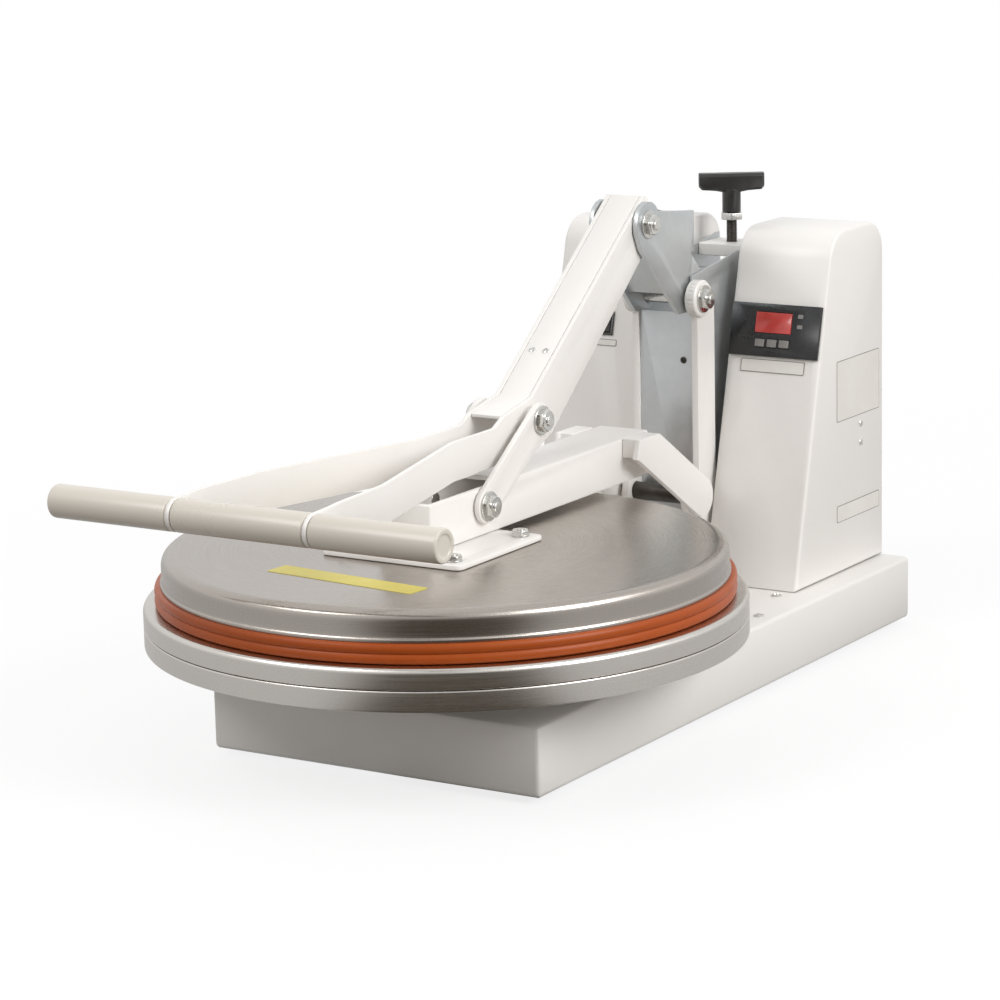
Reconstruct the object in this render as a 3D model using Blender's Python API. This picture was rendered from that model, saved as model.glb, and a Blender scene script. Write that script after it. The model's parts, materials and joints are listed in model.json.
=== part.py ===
"""Countertop pizza dough press: a lever, a toggle and a hinged round platen on a long steel base.

Lengths are metres. Shapes are built in machine coordinates: x to the operator's right, y to the
back from the platens' axis, z up from the table. The machine empty then moves the whole press so
that its overall box is centred on the world's y axis.
"""
import math

import bmesh
import bpy
from mathutils import Matrix, Vector

# Gaps shared by all pieces
CLEARANCE = 0.0003
RUNNING_GAP = 0.001
OVERRUN = 0.004
SMOOTH_ANGLE = math.radians(35)

# Base and feet
FOOT_HEIGHT = 0.005
FOOT_RADIUS = 0.014
FOOT_INSET = 0.042
BASE_WIDTH = 0.305
BASE_FRONT = 0.112
BASE_REAR = 0.530
BASE_HEIGHT = 0.056
BASE_WALL = 0.002
BASE_EDGE = 0.004
BOTTOM_COVER_THICKNESS = 0.0015

# Platens
PEDESTAL_RADIUS = 0.090
PEDESTAL_FLANGE_RADIUS = 0.115
PEDESTAL_FLANGE = 0.006
PEDESTAL_HEIGHT = 0.031
PEDESTAL_WALL = 0.004
LOWER_PLATEN_RADIUS = 0.241
LOWER_PAN_THICKNESS = 0.0164
LOWER_PLATEN_THICKNESS = 0.0165
PLATEN_EDGE = 0.0015
PRESSING_GAP = 0.0008
UPPER_RIM_INSET = 0.0155
UPPER_PLATEN_THICKNESS = 0.012
RING_WALL = 0.0057
RING_HEIGHT = 0.0150
COVER_LIP = 0.0013
COVER_HEIGHT = 0.0240
COVER_WALL = 0.0012
COVER_EDGE_RADIUS = 0.008
ELEMENT_RING_RADIUS = 0.150
ELEMENT_TUBE_RADIUS = 0.004
ELEMENT_SWEEP_SHARE = 0.94
INSULATION_INSET = 0.010

# Arm that carries the upper platen
FLANGE_WIDTH = 0.130
FLANGE_FRONT = 0.080
FLANGE_REAR = 0.045
FLANGE_THICKNESS = 0.004
FLANGE_CORNER = 0.006
FLANGE_BOLT_X = 0.050
FLANGE_BOLT_FRONT = 0.066
FLANGE_BOLT_REAR = 0.033
FLANGE_NUT_RADIUS = 0.0085
FLANGE_NUT_HEIGHT = 0.0050
FLANGE_STUD_RADIUS = 0.004
ARM_WIDTH = 0.048
ARM_WALL = 0.004
ARM_FRONT = 0.057
ARM_REAR = 0.285
ARM_HEIGHT = 0.0388
ARM_EDGE = 0.002
ARM_ROOF_FRONT = 0.060
CHEEK_INNER = 0.0365
CHEEK_THICKNESS = 0.005
CHEEK_BLOCK_FRONT = 0.240
CHEEK_BLOCK_REAR = 0.274
CHEEK_BLOCK_DEPTH = 0.016
CHEEK_BAR_WIDTH = 0.038
CHEEK_END_RADIUS = 0.017
CHEEK_CAP = 0.0015
HINGE_Y = 0.350
HINGE_DROP = 0.0700
HINGE_SHAFT_RADIUS = 0.008

# Toggle: offsets along y and z from one pivot to the next
LINK_PIVOT_Y = 0.0185
LINK_PIVOT_RISE = 0.0245
ELBOW_REACH = 0.0825
ELBOW_RISE = 0.0550
LEVER_REACH = 0.1895
LEVER_RISE = 0.1345
ROCKER_REACH = 0.0720
ROCKER_DROP = 0.0728
LINK_THICKNESS = 0.005
LINK_HALF_WIDTH = 0.0140
PIVOT_SHANK_RADIUS = 0.006
PIVOT_HEX_RADIUS = 0.0096
PIVOT_HEX_HEIGHT = 0.0055
PIVOT_RIM_RADIUS = 0.0120
PIVOT_RIM_HEIGHT = 0.0016
PIVOT_TIP_RADIUS = 0.0045
PIVOT_TIP_HEIGHT = 0.0015
RIVET_SHARE = 0.7

# Lever and grip
LEVER_HALF_WIDTH = 0.018
LEVER_PLATE = 0.004
LEVER_HALF_DEPTH = 0.019
LEVER_END_REACH = 0.0185
LEVER_END_CORNER = 0.004
ELBOW_TOP_BACK = 0.007
ELBOW_TOP_RISE = 0.017
ELBOW_NOSE_FRONT = 0.037
ELBOW_NOSE_RISE = 0.0083
ELBOW_HEEL_BACK = 0.037
ELBOW_HEEL_DROP = 0.017
ELBOW_TOE_BACK = 0.014
ELBOW_TOE_DROP = 0.027
ARM_TOP_START_Y = 0.050
ARM_LOW_START_Y = 0.008
ARM_TOP_RISE = 0.0010
ARM_DEPTH = 0.0318
ARM_NECK_FRONT = 0.232
ARM_NECK_DROP = 0.0010
ARM_NECK_DEPTH = 0.0300
SPREAD_START_FRONT = 0.012
SPREAD_MIDDLE_FRONT = 0.168
SPREAD_END_FRONT = 0.246
SPREAD_MIDDLE_HALF_WIDTH = 0.058
SPREAD_HALF_WIDTH = 0.0635
WEB_THICKNESS = 0.003
ELBOW_BOSS_RADIUS = 0.009
GRIP_FRONT = 0.2665
GRIP_DROP = 0.0145
GRIP_HALF_LENGTH = 0.174
GRIP_RADIUS = 0.013
GRIP_BORE_RADIUS = 0.0053
GRIP_ROD_RADIUS = 0.005
GRIP_EDGE = 0.003
GRIP_CAP = 0.003

# Uprights, column and rocker
UPRIGHT_THICKNESS = 0.006
UPRIGHT_DEPTH = 0.030
UPRIGHT_LEAD = 0.0045
UPRIGHT_SHOULDER = 0.006
UPRIGHT_LUG_RADIUS = 0.016
BOSS_RADIUS = 0.016
BOSS_PROUD = 0.0037
ROCKER_PLATE_INNER = 0.0195
ROCKER_PLATE = 0.004
ROCKER_EYE_RADIUS = 0.0195
ROCKER_HUB_RADIUS = 0.0115
ROCKER_FRONT_REACH = 0.0230
ROCKER_FRONT_START = 0.0060
ROCKER_WEB_INSET = 0.0060
ROCKER_WEB_START = 0.0250
ROCKER_WEB_END = 0.0754
ROCKER_BACK_REACH = 0.0165
ROCKER_BACK_RISE = 0.0748
ROCKER_BACK_LOW = 0.0400
ROCKER_BACK_WALL = 0.003
ROCKER_BEND_RADIUS = 0.013
ROCKER_NOTCH_DEPTH = 0.017
ROCKER_TOP_RISE = 0.0090
ROCKER_TOP_CORNER = 0.006
ROCKER_NECK_LOW = 0.0050
ROCKER_NECK_HIGH = 0.0240
TAIL_DROP = 0.0030
TAIL_RADIUS = 0.011
TRUNNION_RADIUS = 0.0085
ROCKER_PIN_RADIUS = 0.006
COLUMN_WIDTH = 0.052
COLUMN_WALL = 0.002
COLUMN_LEAD = 0.0025
COLUMN_DEPTH = 0.142
COLUMN_WEB_DROP = 0.0130
COLUMN_SIDE_RISE = 0.0190
COLUMN_SIDE_SLOPE = 0.13
TOP_PLATE_THICKNESS = 0.011
TOP_PLATE_DEPTH = 0.038
TOP_PLATE_RISE = 0.0215

# Thickness screw
SCREW_BACK = 0.1185
SCREW_RADIUS = 0.0048
SCREW_FOOT = 0.012
SCREW_STAND = 0.020
COLLAR_RADIUS = 0.0105
COLLAR_HEIGHT = 0.0065
KNOB_HUB_RADIUS = 0.0083
KNOB_HUB_HEIGHT = 0.018
KNOB_BAR_LENGTH = 0.058
KNOB_BAR_WIDTH = 0.0150
KNOB_BAR_HEIGHT = 0.0165
KNOB_BAR_EDGE = 0.0025
KNOB_END_HEIGHT_SHARE = 0.88
KNOB_WAIST_WIDTH_SHARE = 0.86
KNOB_TURN = math.radians(32)

# Towers
TOWER_FRONT = 0.357
TOWER_BACK_GAP = 0.0020
TOWER_HEIGHT = 0.304
TOWER_LEAN = math.radians(13.7)
TOWER_WALL = 0.0015
TOWER_FRONT_RADIUS = 0.030
TOWER_BACK_RADIUS = 0.027
TOWER_SIDE_EDGE = 0.003
TOWER_GAP = 0.072
RIGHT_TOWER_WIDTH = 0.091
LEFT_TOWER_WIDTH = 0.106
BACK_COVER_MARGIN = 0.012
BACK_COVER_TOP_MARGIN = 0.038
BACK_WINDOW_INSET = 0.010

# Controls on the right tower, heights above the base top
PANEL_WIDTH = 0.087
PANEL_HEIGHT = 0.0463
PANEL_THICKNESS = 0.003
PANEL_RISE = 0.2183
LENS_WIDTH = 0.035
LENS_HEIGHT = 0.0180
LENS_OFFSET_X = -0.0019
LENS_OFFSET_UP = 0.0066
BUTTON_WIDTH = 0.0090
BUTTON_HEIGHT = 0.0068
BUTTON_PITCH = 0.0118
BUTTON_OFFSET_X = -0.0015
BUTTON_OFFSET_UP = -0.0114
BUTTON_PROUD = 0.0013
BUTTON_TRAVEL = 0.0010
CONTROLLER_WIDTH = 0.072
CONTROLLER_HEIGHT = 0.036
CONTROLLER_DEPTH = 0.060

# Power switch and cord gland on the left tower
SWITCH_WIDTH = 0.0155
SWITCH_HEIGHT = 0.0215
SWITCH_RISE = 0.2140
SWITCH_RIM = 0.002
SWITCH_RIM_WALL = 0.0022
SWITCH_POCKET = 0.0090
SWITCH_BODY_DEPTH = 0.018
SWITCH_TILT = math.radians(8)
GLAND_RADIUS = 0.011
GLAND_BORE_RADIUS = 0.005
GLAND_NUT_RADIUS = 0.014
GLAND_NUT_HEIGHT = 0.005
GLAND_LENGTH = 0.012
GLAND_RISE = 0.035

# Sizes and heights worked out from the sizes above
UPPER_PLATEN_RADIUS = LOWER_PLATEN_RADIUS - UPPER_RIM_INSET
COVER_RADIUS = UPPER_PLATEN_RADIUS + COVER_LIP
BASE_BOTTOM = FOOT_HEIGHT
BASE_TOP = BASE_BOTTOM + BASE_HEIGHT
PEDESTAL_TOP = BASE_TOP + CLEARANCE + PEDESTAL_HEIGHT
PAN_BOTTOM = PEDESTAL_TOP + CLEARANCE
PAN_TOP = PAN_BOTTOM + LOWER_PAN_THICKNESS
LOWER_PLATEN_BOTTOM = PAN_TOP + CLEARANCE
LOWER_PLATEN_TOP = LOWER_PLATEN_BOTTOM + LOWER_PLATEN_THICKNESS
UPPER_PLATEN_BOTTOM = LOWER_PLATEN_TOP + PRESSING_GAP
UPPER_PLATEN_TOP = UPPER_PLATEN_BOTTOM + UPPER_PLATEN_THICKNESS
COVER_BOTTOM = UPPER_PLATEN_BOTTOM + RING_HEIGHT + CLEARANCE
COVER_TOP = COVER_BOTTOM + COVER_HEIGHT
FLANGE_BOTTOM = COVER_TOP + CLEARANCE
FLANGE_TOP = FLANGE_BOTTOM + FLANGE_THICKNESS
ARM_BOTTOM = FLANGE_TOP + CLEARANCE
ARM_TOP = ARM_BOTTOM + ARM_HEIGHT
HINGE_Z = ARM_TOP - HINGE_DROP
LINK_PIVOT_Z = ARM_BOTTOM + LINK_PIVOT_RISE
ELBOW_Y = LINK_PIVOT_Y + ELBOW_REACH
ELBOW_Z = LINK_PIVOT_Z + ELBOW_RISE
LEVER_PIVOT_Y = ELBOW_Y + LEVER_REACH
LEVER_PIVOT_Z = ELBOW_Z + LEVER_RISE
ROCKER_PIVOT_Y = LEVER_PIVOT_Y + ROCKER_REACH
ROCKER_PIVOT_Z = LEVER_PIVOT_Z - ROCKER_DROP
GRIP_Z = ELBOW_Z - GRIP_DROP
SCREW_Y = ROCKER_PIVOT_Y + SCREW_BACK
TRUNNION_Z = ROCKER_PIVOT_Z - TAIL_DROP
TOP_PLATE_BOTTOM = ROCKER_PIVOT_Z + TOP_PLATE_RISE
TOP_PLATE_TOP = TOP_PLATE_BOTTOM + TOP_PLATE_THICKNESS
COLLAR_BOTTOM = TOP_PLATE_TOP + SCREW_STAND
KNOB_BOTTOM = COLLAR_BOTTOM + COLLAR_HEIGHT + CLEARANCE
COLUMN_FRONT_Y = ROCKER_PIVOT_Y - COLUMN_LEAD
CHEEK_OUTER = CHEEK_INNER + CHEEK_THICKNESS
LINK_INNER = ARM_WIDTH / 2 + RUNNING_GAP
LINK_OUTER = LINK_INNER + LINK_THICKNESS
UPRIGHT_INNER = COLUMN_WIDTH / 2 + CLEARANCE
UPRIGHT_OUTER = UPRIGHT_INNER + UPRIGHT_THICKNESS
UPRIGHT_FRONT_Y = ROCKER_PIVOT_Y - UPRIGHT_LEAD
BOSS_OUTER = UPRIGHT_OUTER + BOSS_PROUD
ROCKER_PLATE_OUTER = ROCKER_PLATE_INNER + ROCKER_PLATE
LEVER_PLATE_INNER = LEVER_HALF_WIDTH - LEVER_PLATE
PIVOT_HOLE_RADIUS = PIVOT_SHANK_RADIUS + CLEARANCE
TOWER_BACK = BASE_REAR - TOWER_BACK_GAP
SWITCH_CENTRE_X = -(TOWER_GAP + LEFT_TOWER_WIDTH) / 2
PANEL_CENTRE_X = (TOWER_GAP + RIGHT_TOWER_WIDTH) / 2
MACHINE_Y = (GRIP_FRONT + GRIP_RADIUS - BASE_REAR) / 2

# Pivots as (y, z)
HINGE = (HINGE_Y, HINGE_Z)
LINK_PIVOT = (LINK_PIVOT_Y, LINK_PIVOT_Z)
ELBOW = (ELBOW_Y, ELBOW_Z)
LEVER_PIVOT = (LEVER_PIVOT_Y, LEVER_PIVOT_Z)
ROCKER_PIVOT = (ROCKER_PIVOT_Y, ROCKER_PIVOT_Z)
GRIP = (-GRIP_FRONT, GRIP_Z)

# Counts of segments
DISC_STEPS = 72
EDGE_STEPS = 3
PIN_STEPS = 16
EYE_STEPS = 8
SCREW_STEPS = 12


# Materials

def material(name, colour, roughness, metallic=0.0):
    """A Principled material of one colour."""
    made = bpy.data.materials.new(name)
    made.use_nodes = True
    shader = made.node_tree.nodes["Principled BSDF"]
    shader.inputs["Base Color"].default_value = (*colour, 1.0)
    shader.inputs["Roughness"].default_value = roughness
    shader.inputs["Metallic"].default_value = metallic
    made.diffuse_color = (*colour, 1.0)
    return made


WHITE_PAINT = material("white_paint", (0.78, 0.76, 0.72), 0.42)
CREAM_PAINT = material("cream_paint", (0.72, 0.68, 0.62), 0.40)
GALVANISED = material("galvanised_steel", (0.38, 0.40, 0.41), 0.45, 1.0)
BRIGHT_STEEL = material("bright_steel", (0.62, 0.61, 0.58), 0.30, 1.0)
BRUSHED_STEEL = material("brushed_steel", (0.55, 0.53, 0.50), 0.34, 1.0)
CAST_ALUMINIUM = material("aluminium", (0.66, 0.65, 0.62), 0.38, 1.0)
SILICONE = material("orange_silicone", (0.60, 0.13, 0.03), 0.55)
BLACK_PLASTIC = material("black_plastic", (0.015, 0.015, 0.015), 0.38)
PANEL_FILM = material("panel_film", (0.012, 0.012, 0.013), 0.30)
RED_LENS = material("red_lens", (0.55, 0.04, 0.03), 0.20)
GREY_BUTTON = material("grey_button", (0.22, 0.21, 0.20), 0.50)
RUBBER = material("rubber", (0.02, 0.02, 0.02), 0.80)
FIBRE = material("insulation_fibre", (0.70, 0.68, 0.62), 0.95)
DARK_STEEL = material("dark_steel", (0.06, 0.055, 0.05), 0.45, 1.0)


# Flat outlines

def arc(centre, radius, start, end, steps):
    """Points of an arc about centre, with angles in degrees and both ends included."""
    points = []
    for step in range(steps + 1):
        angle = math.radians(start + (end - start) * step / steps)
        points.append((centre[0] + radius * math.cos(angle), centre[1] + radius * math.sin(angle)))
    return points


def circle(centre, radius, steps):
    """A closed circle, without a repeated point."""
    return arc(centre, radius, 0.0, 360.0, steps)[:-1]


def rectangle(centre, width, height):
    """The four corners of an upright rectangle."""
    a = width / 2
    b = height / 2
    return [(centre[0] + i * a, centre[1] + j * b) for i, j in ((-1, -1), (1, -1), (1, 1), (-1, 1))]


def rounded_rectangle(centre, width, height, radius, steps):
    """An upright rectangle whose corners are arcs."""
    a = width / 2 - radius
    b = height / 2 - radius
    points = []
    for i, j, start in ((1, 1, 0), (-1, 1, 90), (-1, -1, 180), (1, -1, 270)):
        points += arc((centre[0] + i * a, centre[1] + j * b), radius, start, start + 90, steps)
    return points


def heading(start, end):
    """The angle in degrees of the line from start to end."""
    return math.degrees(math.atan2(end[1] - start[1], end[0] - start[0]))


def capsule(start, end, radius, steps):
    """Two half circles about start and end, joined by their tangents."""
    angle = heading(start, end)
    return arc(end, radius, angle - 90, angle + 90, steps) + arc(start, radius, angle + 90, angle + 270, steps)


def offset(point, angle, distance):
    """The point moved by distance at angle degrees."""
    turn = math.radians(angle)
    return (point[0] + distance * math.cos(turn), point[1] + distance * math.sin(turn))


# Solids as bmeshes in machine coordinates

PLACES = {
    "X": lambda a, b, c: (c, a, b),
    "Y": lambda a, b, c: (a, c, b),
    "Z": lambda a, b, c: (a, b, c),
}


def prism(outline, low, high, axis="X", holes=()):
    """A flat outline with holes, drawn across the axis and extruded along it from low to high."""
    bm = bmesh.new()
    place = PLACES[axis]
    edges = []
    for loop in (outline, *holes):
        verts = [bm.verts.new(place(a, b, low)) for a, b in loop]
        edges += [bm.edges.new((verts[i - 1], verts[i])) for i in range(len(verts))]
    filled = bmesh.ops.triangle_fill(bm, edges=edges, use_beauty=True, use_dissolve=False)
    faces = [item for item in filled["geom"] if isinstance(item, bmesh.types.BMFace)]
    raised = bmesh.ops.extrude_face_region(bm, geom=faces)
    moved = [item for item in raised["geom"] if isinstance(item, bmesh.types.BMVert)]
    bmesh.ops.translate(bm, vec=Vector(place(0, 0, high - low)), verts=moved)
    bmesh.ops.recalc_face_normals(bm, faces=bm.faces)
    return bm


def loft(loops, closed=False):
    """A skin through loops of equal length, capped at both ends or joined end to start."""
    bm = bmesh.new()
    rings = [[bm.verts.new(point) for point in loop] for loop in loops]
    pairs = list(zip(rings, rings[1:]))
    if closed:
        pairs.append((rings[-1], rings[0]))
    for first, second in pairs:
        for i in range(len(first)):
            bm.faces.new((first[i - 1], first[i], second[i], second[i - 1]))
    if not closed:
        bm.faces.new(rings[0])
        bm.faces.new(rings[-1])
    bmesh.ops.recalc_face_normals(bm, faces=bm.faces)
    return bm


def turned(profile, axis, centre, steps=PIN_STEPS, closed=False, hexagonal=()):
    """A solid of revolution: profile holds (radius, height) pairs, hexagonal their six-sided ones."""
    loops = []
    place = PLACES[axis]
    for index, (radius, height) in enumerate(profile):
        loop = []
        for step in range(steps):
            angle = math.tau * step / steps
            reach = radius
            if index in hexagonal:
                reach *= math.cos(math.pi / 6) / math.cos(angle % (math.pi / 3) - math.pi / 6)
            point = Vector(place(reach * math.cos(angle), reach * math.sin(angle), height))
            loop.append(point + Vector(centre))
        loops.append(loop)
    return loft(loops, closed)


def box(low, high, edge=0.0):
    """A box between two corners, with its edges rounded by edge."""
    bm = bmesh.new()
    bmesh.ops.create_cube(bm, size=1.0)
    low = Vector(low)
    high = Vector(high)
    bmesh.ops.transform(bm, matrix=Matrix.Diagonal((*(high - low), 1.0)), verts=bm.verts)
    bmesh.ops.translate(bm, vec=(low + high) / 2, verts=bm.verts)
    if edge > 0:
        bmesh.ops.bevel(bm, geom=bm.edges[:], offset=edge, segments=2, profile=0.5, affect="EDGES")
    return bm


def span(side, inner, outer):
    """Low and high x of a plate that lies from inner to outer on one side."""
    return (inner, outer) if side > 0 else (-outer, -inner)


def side_prism(side, outline, inner, outer, holes=()):
    """A plate across x on one side of the machine."""
    low, high = span(side, inner, outer)
    return prism(outline, low, high, "X", holes)


def head_profile(face):
    """The rim, the hexagon and the tip of a bolt head that sits on a plate's outer face."""
    under = face + CLEARANCE
    seat = under + PIVOT_RIM_HEIGHT
    top = seat + PIVOT_HEX_HEIGHT
    return [(PIVOT_RIM_RADIUS, under), (PIVOT_RIM_RADIUS, seat), (PIVOT_HEX_RADIUS, seat), (PIVOT_HEX_RADIUS, top),
            (PIVOT_TIP_RADIUS, top), (PIVOT_TIP_RADIUS, top + PIVOT_TIP_HEIGHT)]


def through_pin(pivot, face, shank):
    """A pin along x through two plates, with a hexagon head on the right and a riveted head on the left."""
    under = face + CLEARANCE
    end = under + PIVOT_RIM_HEIGHT + PIVOT_HEX_HEIGHT / 2
    profile = [(PIVOT_RIM_RADIUS * RIVET_SHARE, -end), (PIVOT_RIM_RADIUS, -under - PIVOT_RIM_HEIGHT),
               (PIVOT_RIM_RADIUS, -under), (shank, -under), (shank, under), *head_profile(face)]
    return turned(profile, "X", (0, *pivot), SCREW_STEPS, hexagonal=(7, 8))


def side_bolt(side, pivot, tip, face, shank):
    """A flanged hexagon bolt along x: its shank runs inwards from under the head to tip."""
    profile = [(shank, tip), (shank, face + CLEARANCE), *head_profile(face)]
    return turned([(radius, side * x) for radius, x in profile], "X", (0, *pivot), SCREW_STEPS, hexagonal=(4, 5))


# Objects

class Body:
    """A rigid group of pieces, carried by an empty on its joint's axis."""

    def __init__(self, name, origin, carrier=None):
        self.origin = Vector(origin)
        self.empty = bpy.data.objects.new(name, None)
        bpy.context.scene.collection.objects.link(self.empty)
        if carrier is None:
            self.empty.location = (0, MACHINE_Y, 0)
        else:
            self.empty.parent = carrier.empty
            self.empty.location = self.origin - carrier.origin

    def link(self, name, bm):
        """An object for a bmesh that is given in machine coordinates."""
        mesh = bpy.data.meshes.new(name)
        bmesh.ops.translate(bm, vec=-self.origin, verts=bm.verts)
        bm.to_mesh(mesh)
        bm.free()
        made = bpy.data.objects.new(name, mesh)
        made.parent = self.empty
        bpy.context.scene.collection.objects.link(made)
        return made

    def add(self, name, bm, surface):
        """A named piece with smooth round faces."""
        made = self.link(name, bm)
        made.data.materials.append(surface)
        made.data.shade_smooth()
        made.data.set_sharp_from_angle(angle=SMOOTH_ANGLE)
        return made

    def shape(self, target, bm, operation="DIFFERENCE"):
        """Cuts a bmesh from the target, or joins it on, with a hidden tool object."""
        tool = self.link("tool_" + target.name + "_" + str(len(target.modifiers)), bm)
        tool.hide_render = True
        tool.display_type = "WIRE"
        modifier = target.modifiers.new(tool.name, "BOOLEAN")
        modifier.object = tool
        modifier.operation = operation
        modifier.solver = "EXACT"


def clear_scene():
    """Empties the scene."""
    for item in list(bpy.data.objects):
        bpy.data.objects.remove(item)


# Base


def make_base_housing(frame):
    """A folded steel box, open below."""
    half = BASE_WIDTH / 2
    outer = box((-half, -BASE_FRONT, BASE_BOTTOM), (half, BASE_REAR, BASE_TOP), BASE_EDGE)
    housing = frame.add("base_housing", outer, WHITE_PAINT)
    inside = box((BASE_WALL - half, BASE_WALL - BASE_FRONT, BASE_BOTTOM - OVERRUN),
                 (half - BASE_WALL, BASE_REAR - BASE_WALL, BASE_TOP - BASE_WALL))
    frame.shape(housing, inside)


def make_bottom_cover(frame):
    """The flat sheet that closes the base."""
    inset = BASE_WALL + CLEARANCE
    half = BASE_WIDTH / 2 - inset
    bottom = BASE_BOTTOM + CLEARANCE
    sheet = box((-half, inset - BASE_FRONT, bottom),
                (half, BASE_REAR - inset, bottom + BOTTOM_COVER_THICKNESS))
    frame.add("base_bottom_cover", sheet, GALVANISED)


def make_feet(frame):
    """Four rubber feet under the bottom cover."""
    places = {"front": FOOT_INSET - BASE_FRONT, "rear": BASE_REAR - FOOT_INSET}
    sides = {"left": -1, "right": 1}
    profile = [(FOOT_RADIUS - BASE_WALL, 0), (FOOT_RADIUS, BASE_BOTTOM)]
    for end, y in places.items():
        for hand, side in sides.items():
            x = side * (BASE_WIDTH / 2 - FOOT_INSET)
            frame.add(end + "_" + hand + "_foot", turned(profile, "Z", (x, y, 0)), RUBBER)


# Lower platen

def disc_profile(radius, low, high, edge):
    """Rings of a flat disc with rounded rims, from its underside to its top."""
    under = [(radius - edge * (1 - math.sin(t)), low + edge * (1 - math.cos(t))) for t in (0, math.pi / 4, math.pi / 2)]
    over = [(r, low + high - z) for r, z in reversed(under)]
    return under + over


def make_pedestal(frame):
    """The flanged riser between the base and the lower platen."""
    profile = [(PEDESTAL_FLANGE_RADIUS, BASE_TOP + CLEARANCE),
               (PEDESTAL_FLANGE_RADIUS, BASE_TOP + PEDESTAL_FLANGE),
               (PEDESTAL_RADIUS, BASE_TOP + PEDESTAL_FLANGE),
               (PEDESTAL_RADIUS, PEDESTAL_TOP),
               (PEDESTAL_RADIUS - PEDESTAL_WALL, PEDESTAL_TOP),
               (PEDESTAL_RADIUS - PEDESTAL_WALL, BASE_TOP + CLEARANCE)]
    frame.add("platen_pedestal", turned(profile, "Z", (0, 0, 0), DISC_STEPS // 2, closed=True), GALVANISED)


def make_lower_pan(frame):
    """The lower half of the fixed platen."""
    profile = disc_profile(LOWER_PLATEN_RADIUS, PAN_BOTTOM, PAN_TOP, PLATEN_EDGE)
    frame.add("lower_platen_pan", turned(profile, "Z", (0, 0, 0), DISC_STEPS), CAST_ALUMINIUM)


def make_lower_platen(frame):
    """The fixed pressing plate."""
    profile = disc_profile(LOWER_PLATEN_RADIUS, LOWER_PLATEN_BOTTOM, LOWER_PLATEN_TOP, PLATEN_EDGE)
    frame.add("lower_platen", turned(profile, "Z", (0, 0, 0), DISC_STEPS), CAST_ALUMINIUM)


# Upper platen

def make_upper_platen(arm):
    """The heated pressing plate."""
    profile = disc_profile(UPPER_PLATEN_RADIUS, UPPER_PLATEN_BOTTOM, UPPER_PLATEN_TOP, PLATEN_EDGE)
    arm.add("upper_platen", turned(profile, "Z", (0, 0, 0), DISC_STEPS), CAST_ALUMINIUM)


def make_silicone_ring(arm):
    """The orange heat guard round the upper platen."""
    inner = UPPER_PLATEN_RADIUS + CLEARANCE
    outer = inner + RING_WALL
    low = UPPER_PLATEN_BOTTOM
    high = low + RING_HEIGHT
    edge = PLATEN_EDGE
    profile = [(inner, low), (outer - edge, low), (outer, low + edge), (outer, high - edge),
               (outer - edge, high), (inner, high)]
    arm.add("silicone_ring", turned(profile, "Z", (0, 0, 0), DISC_STEPS, closed=True), SILICONE)


def make_cover(arm):
    """The stainless cap over the upper platen, open below."""
    radius = COVER_EDGE_RADIUS
    outer = [(COVER_RADIUS, COVER_BOTTOM)]
    outer += arc((COVER_RADIUS - radius, COVER_TOP - radius), radius, 0, 90, EDGE_STEPS)
    inner = [(COVER_RADIUS - COVER_WALL, COVER_BOTTOM)]
    inner += arc((COVER_RADIUS - radius, COVER_TOP - radius), radius - COVER_WALL, 0, 90, EDGE_STEPS)
    profile = list(reversed(outer)) + inner
    arm.add("platen_cover", turned(profile, "Z", (0, 0, 0), DISC_STEPS), BRUSHED_STEEL)


def make_heating_element(arm):
    """A tubular element that lies on the platen in a ring with an open end."""
    centre_z = UPPER_PLATEN_TOP + CLEARANCE + ELEMENT_TUBE_RADIUS
    sides = 8
    loops = []
    for step in range(DISC_STEPS // 2 + 1):
        turn = math.tau * ELEMENT_SWEEP_SHARE * step / (DISC_STEPS // 2)
        loop = []
        for side in range(sides):
            angle = math.tau * side / sides
            reach = ELEMENT_RING_RADIUS + ELEMENT_TUBE_RADIUS * math.cos(angle)
            loop.append((reach * math.cos(turn), reach * math.sin(turn),
                         centre_z + ELEMENT_TUBE_RADIUS * math.sin(angle)))
        loops.append(loop)
    arm.add("heating_element", loft(loops), DARK_STEEL)


def make_insulation(arm):
    """The fibre board between the element and the cover."""
    low = UPPER_PLATEN_TOP + 2 * (CLEARANCE + ELEMENT_TUBE_RADIUS)
    high = COVER_TOP - COVER_WALL - CLEARANCE
    radius = COVER_RADIUS - INSULATION_INSET
    arm.add("insulation_board", turned([(radius, low), (radius, high)], "Z", (0, 0, 0), DISC_STEPS // 2), FIBRE)


# Arm

def flange_bolt_places():
    """The four studs of the arm's foot."""
    return [(side * FLANGE_BOLT_X, y) for side in (-1, 1) for y in (-FLANGE_BOLT_FRONT, FLANGE_BOLT_REAR)]


def make_flange(arm):
    """The plate that holds the arm to the platen."""
    centre = (0, (FLANGE_REAR - FLANGE_FRONT) / 2)
    outline = rounded_rectangle(centre, FLANGE_WIDTH, FLANGE_FRONT + FLANGE_REAR, FLANGE_CORNER, 3)
    hole = FLANGE_STUD_RADIUS + CLEARANCE
    holes = [circle(place, hole, SCREW_STEPS) for place in flange_bolt_places()]
    arm.add("arm_foot_plate", prism(outline, FLANGE_BOTTOM, FLANGE_TOP, "Z", holes), WHITE_PAINT)


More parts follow.
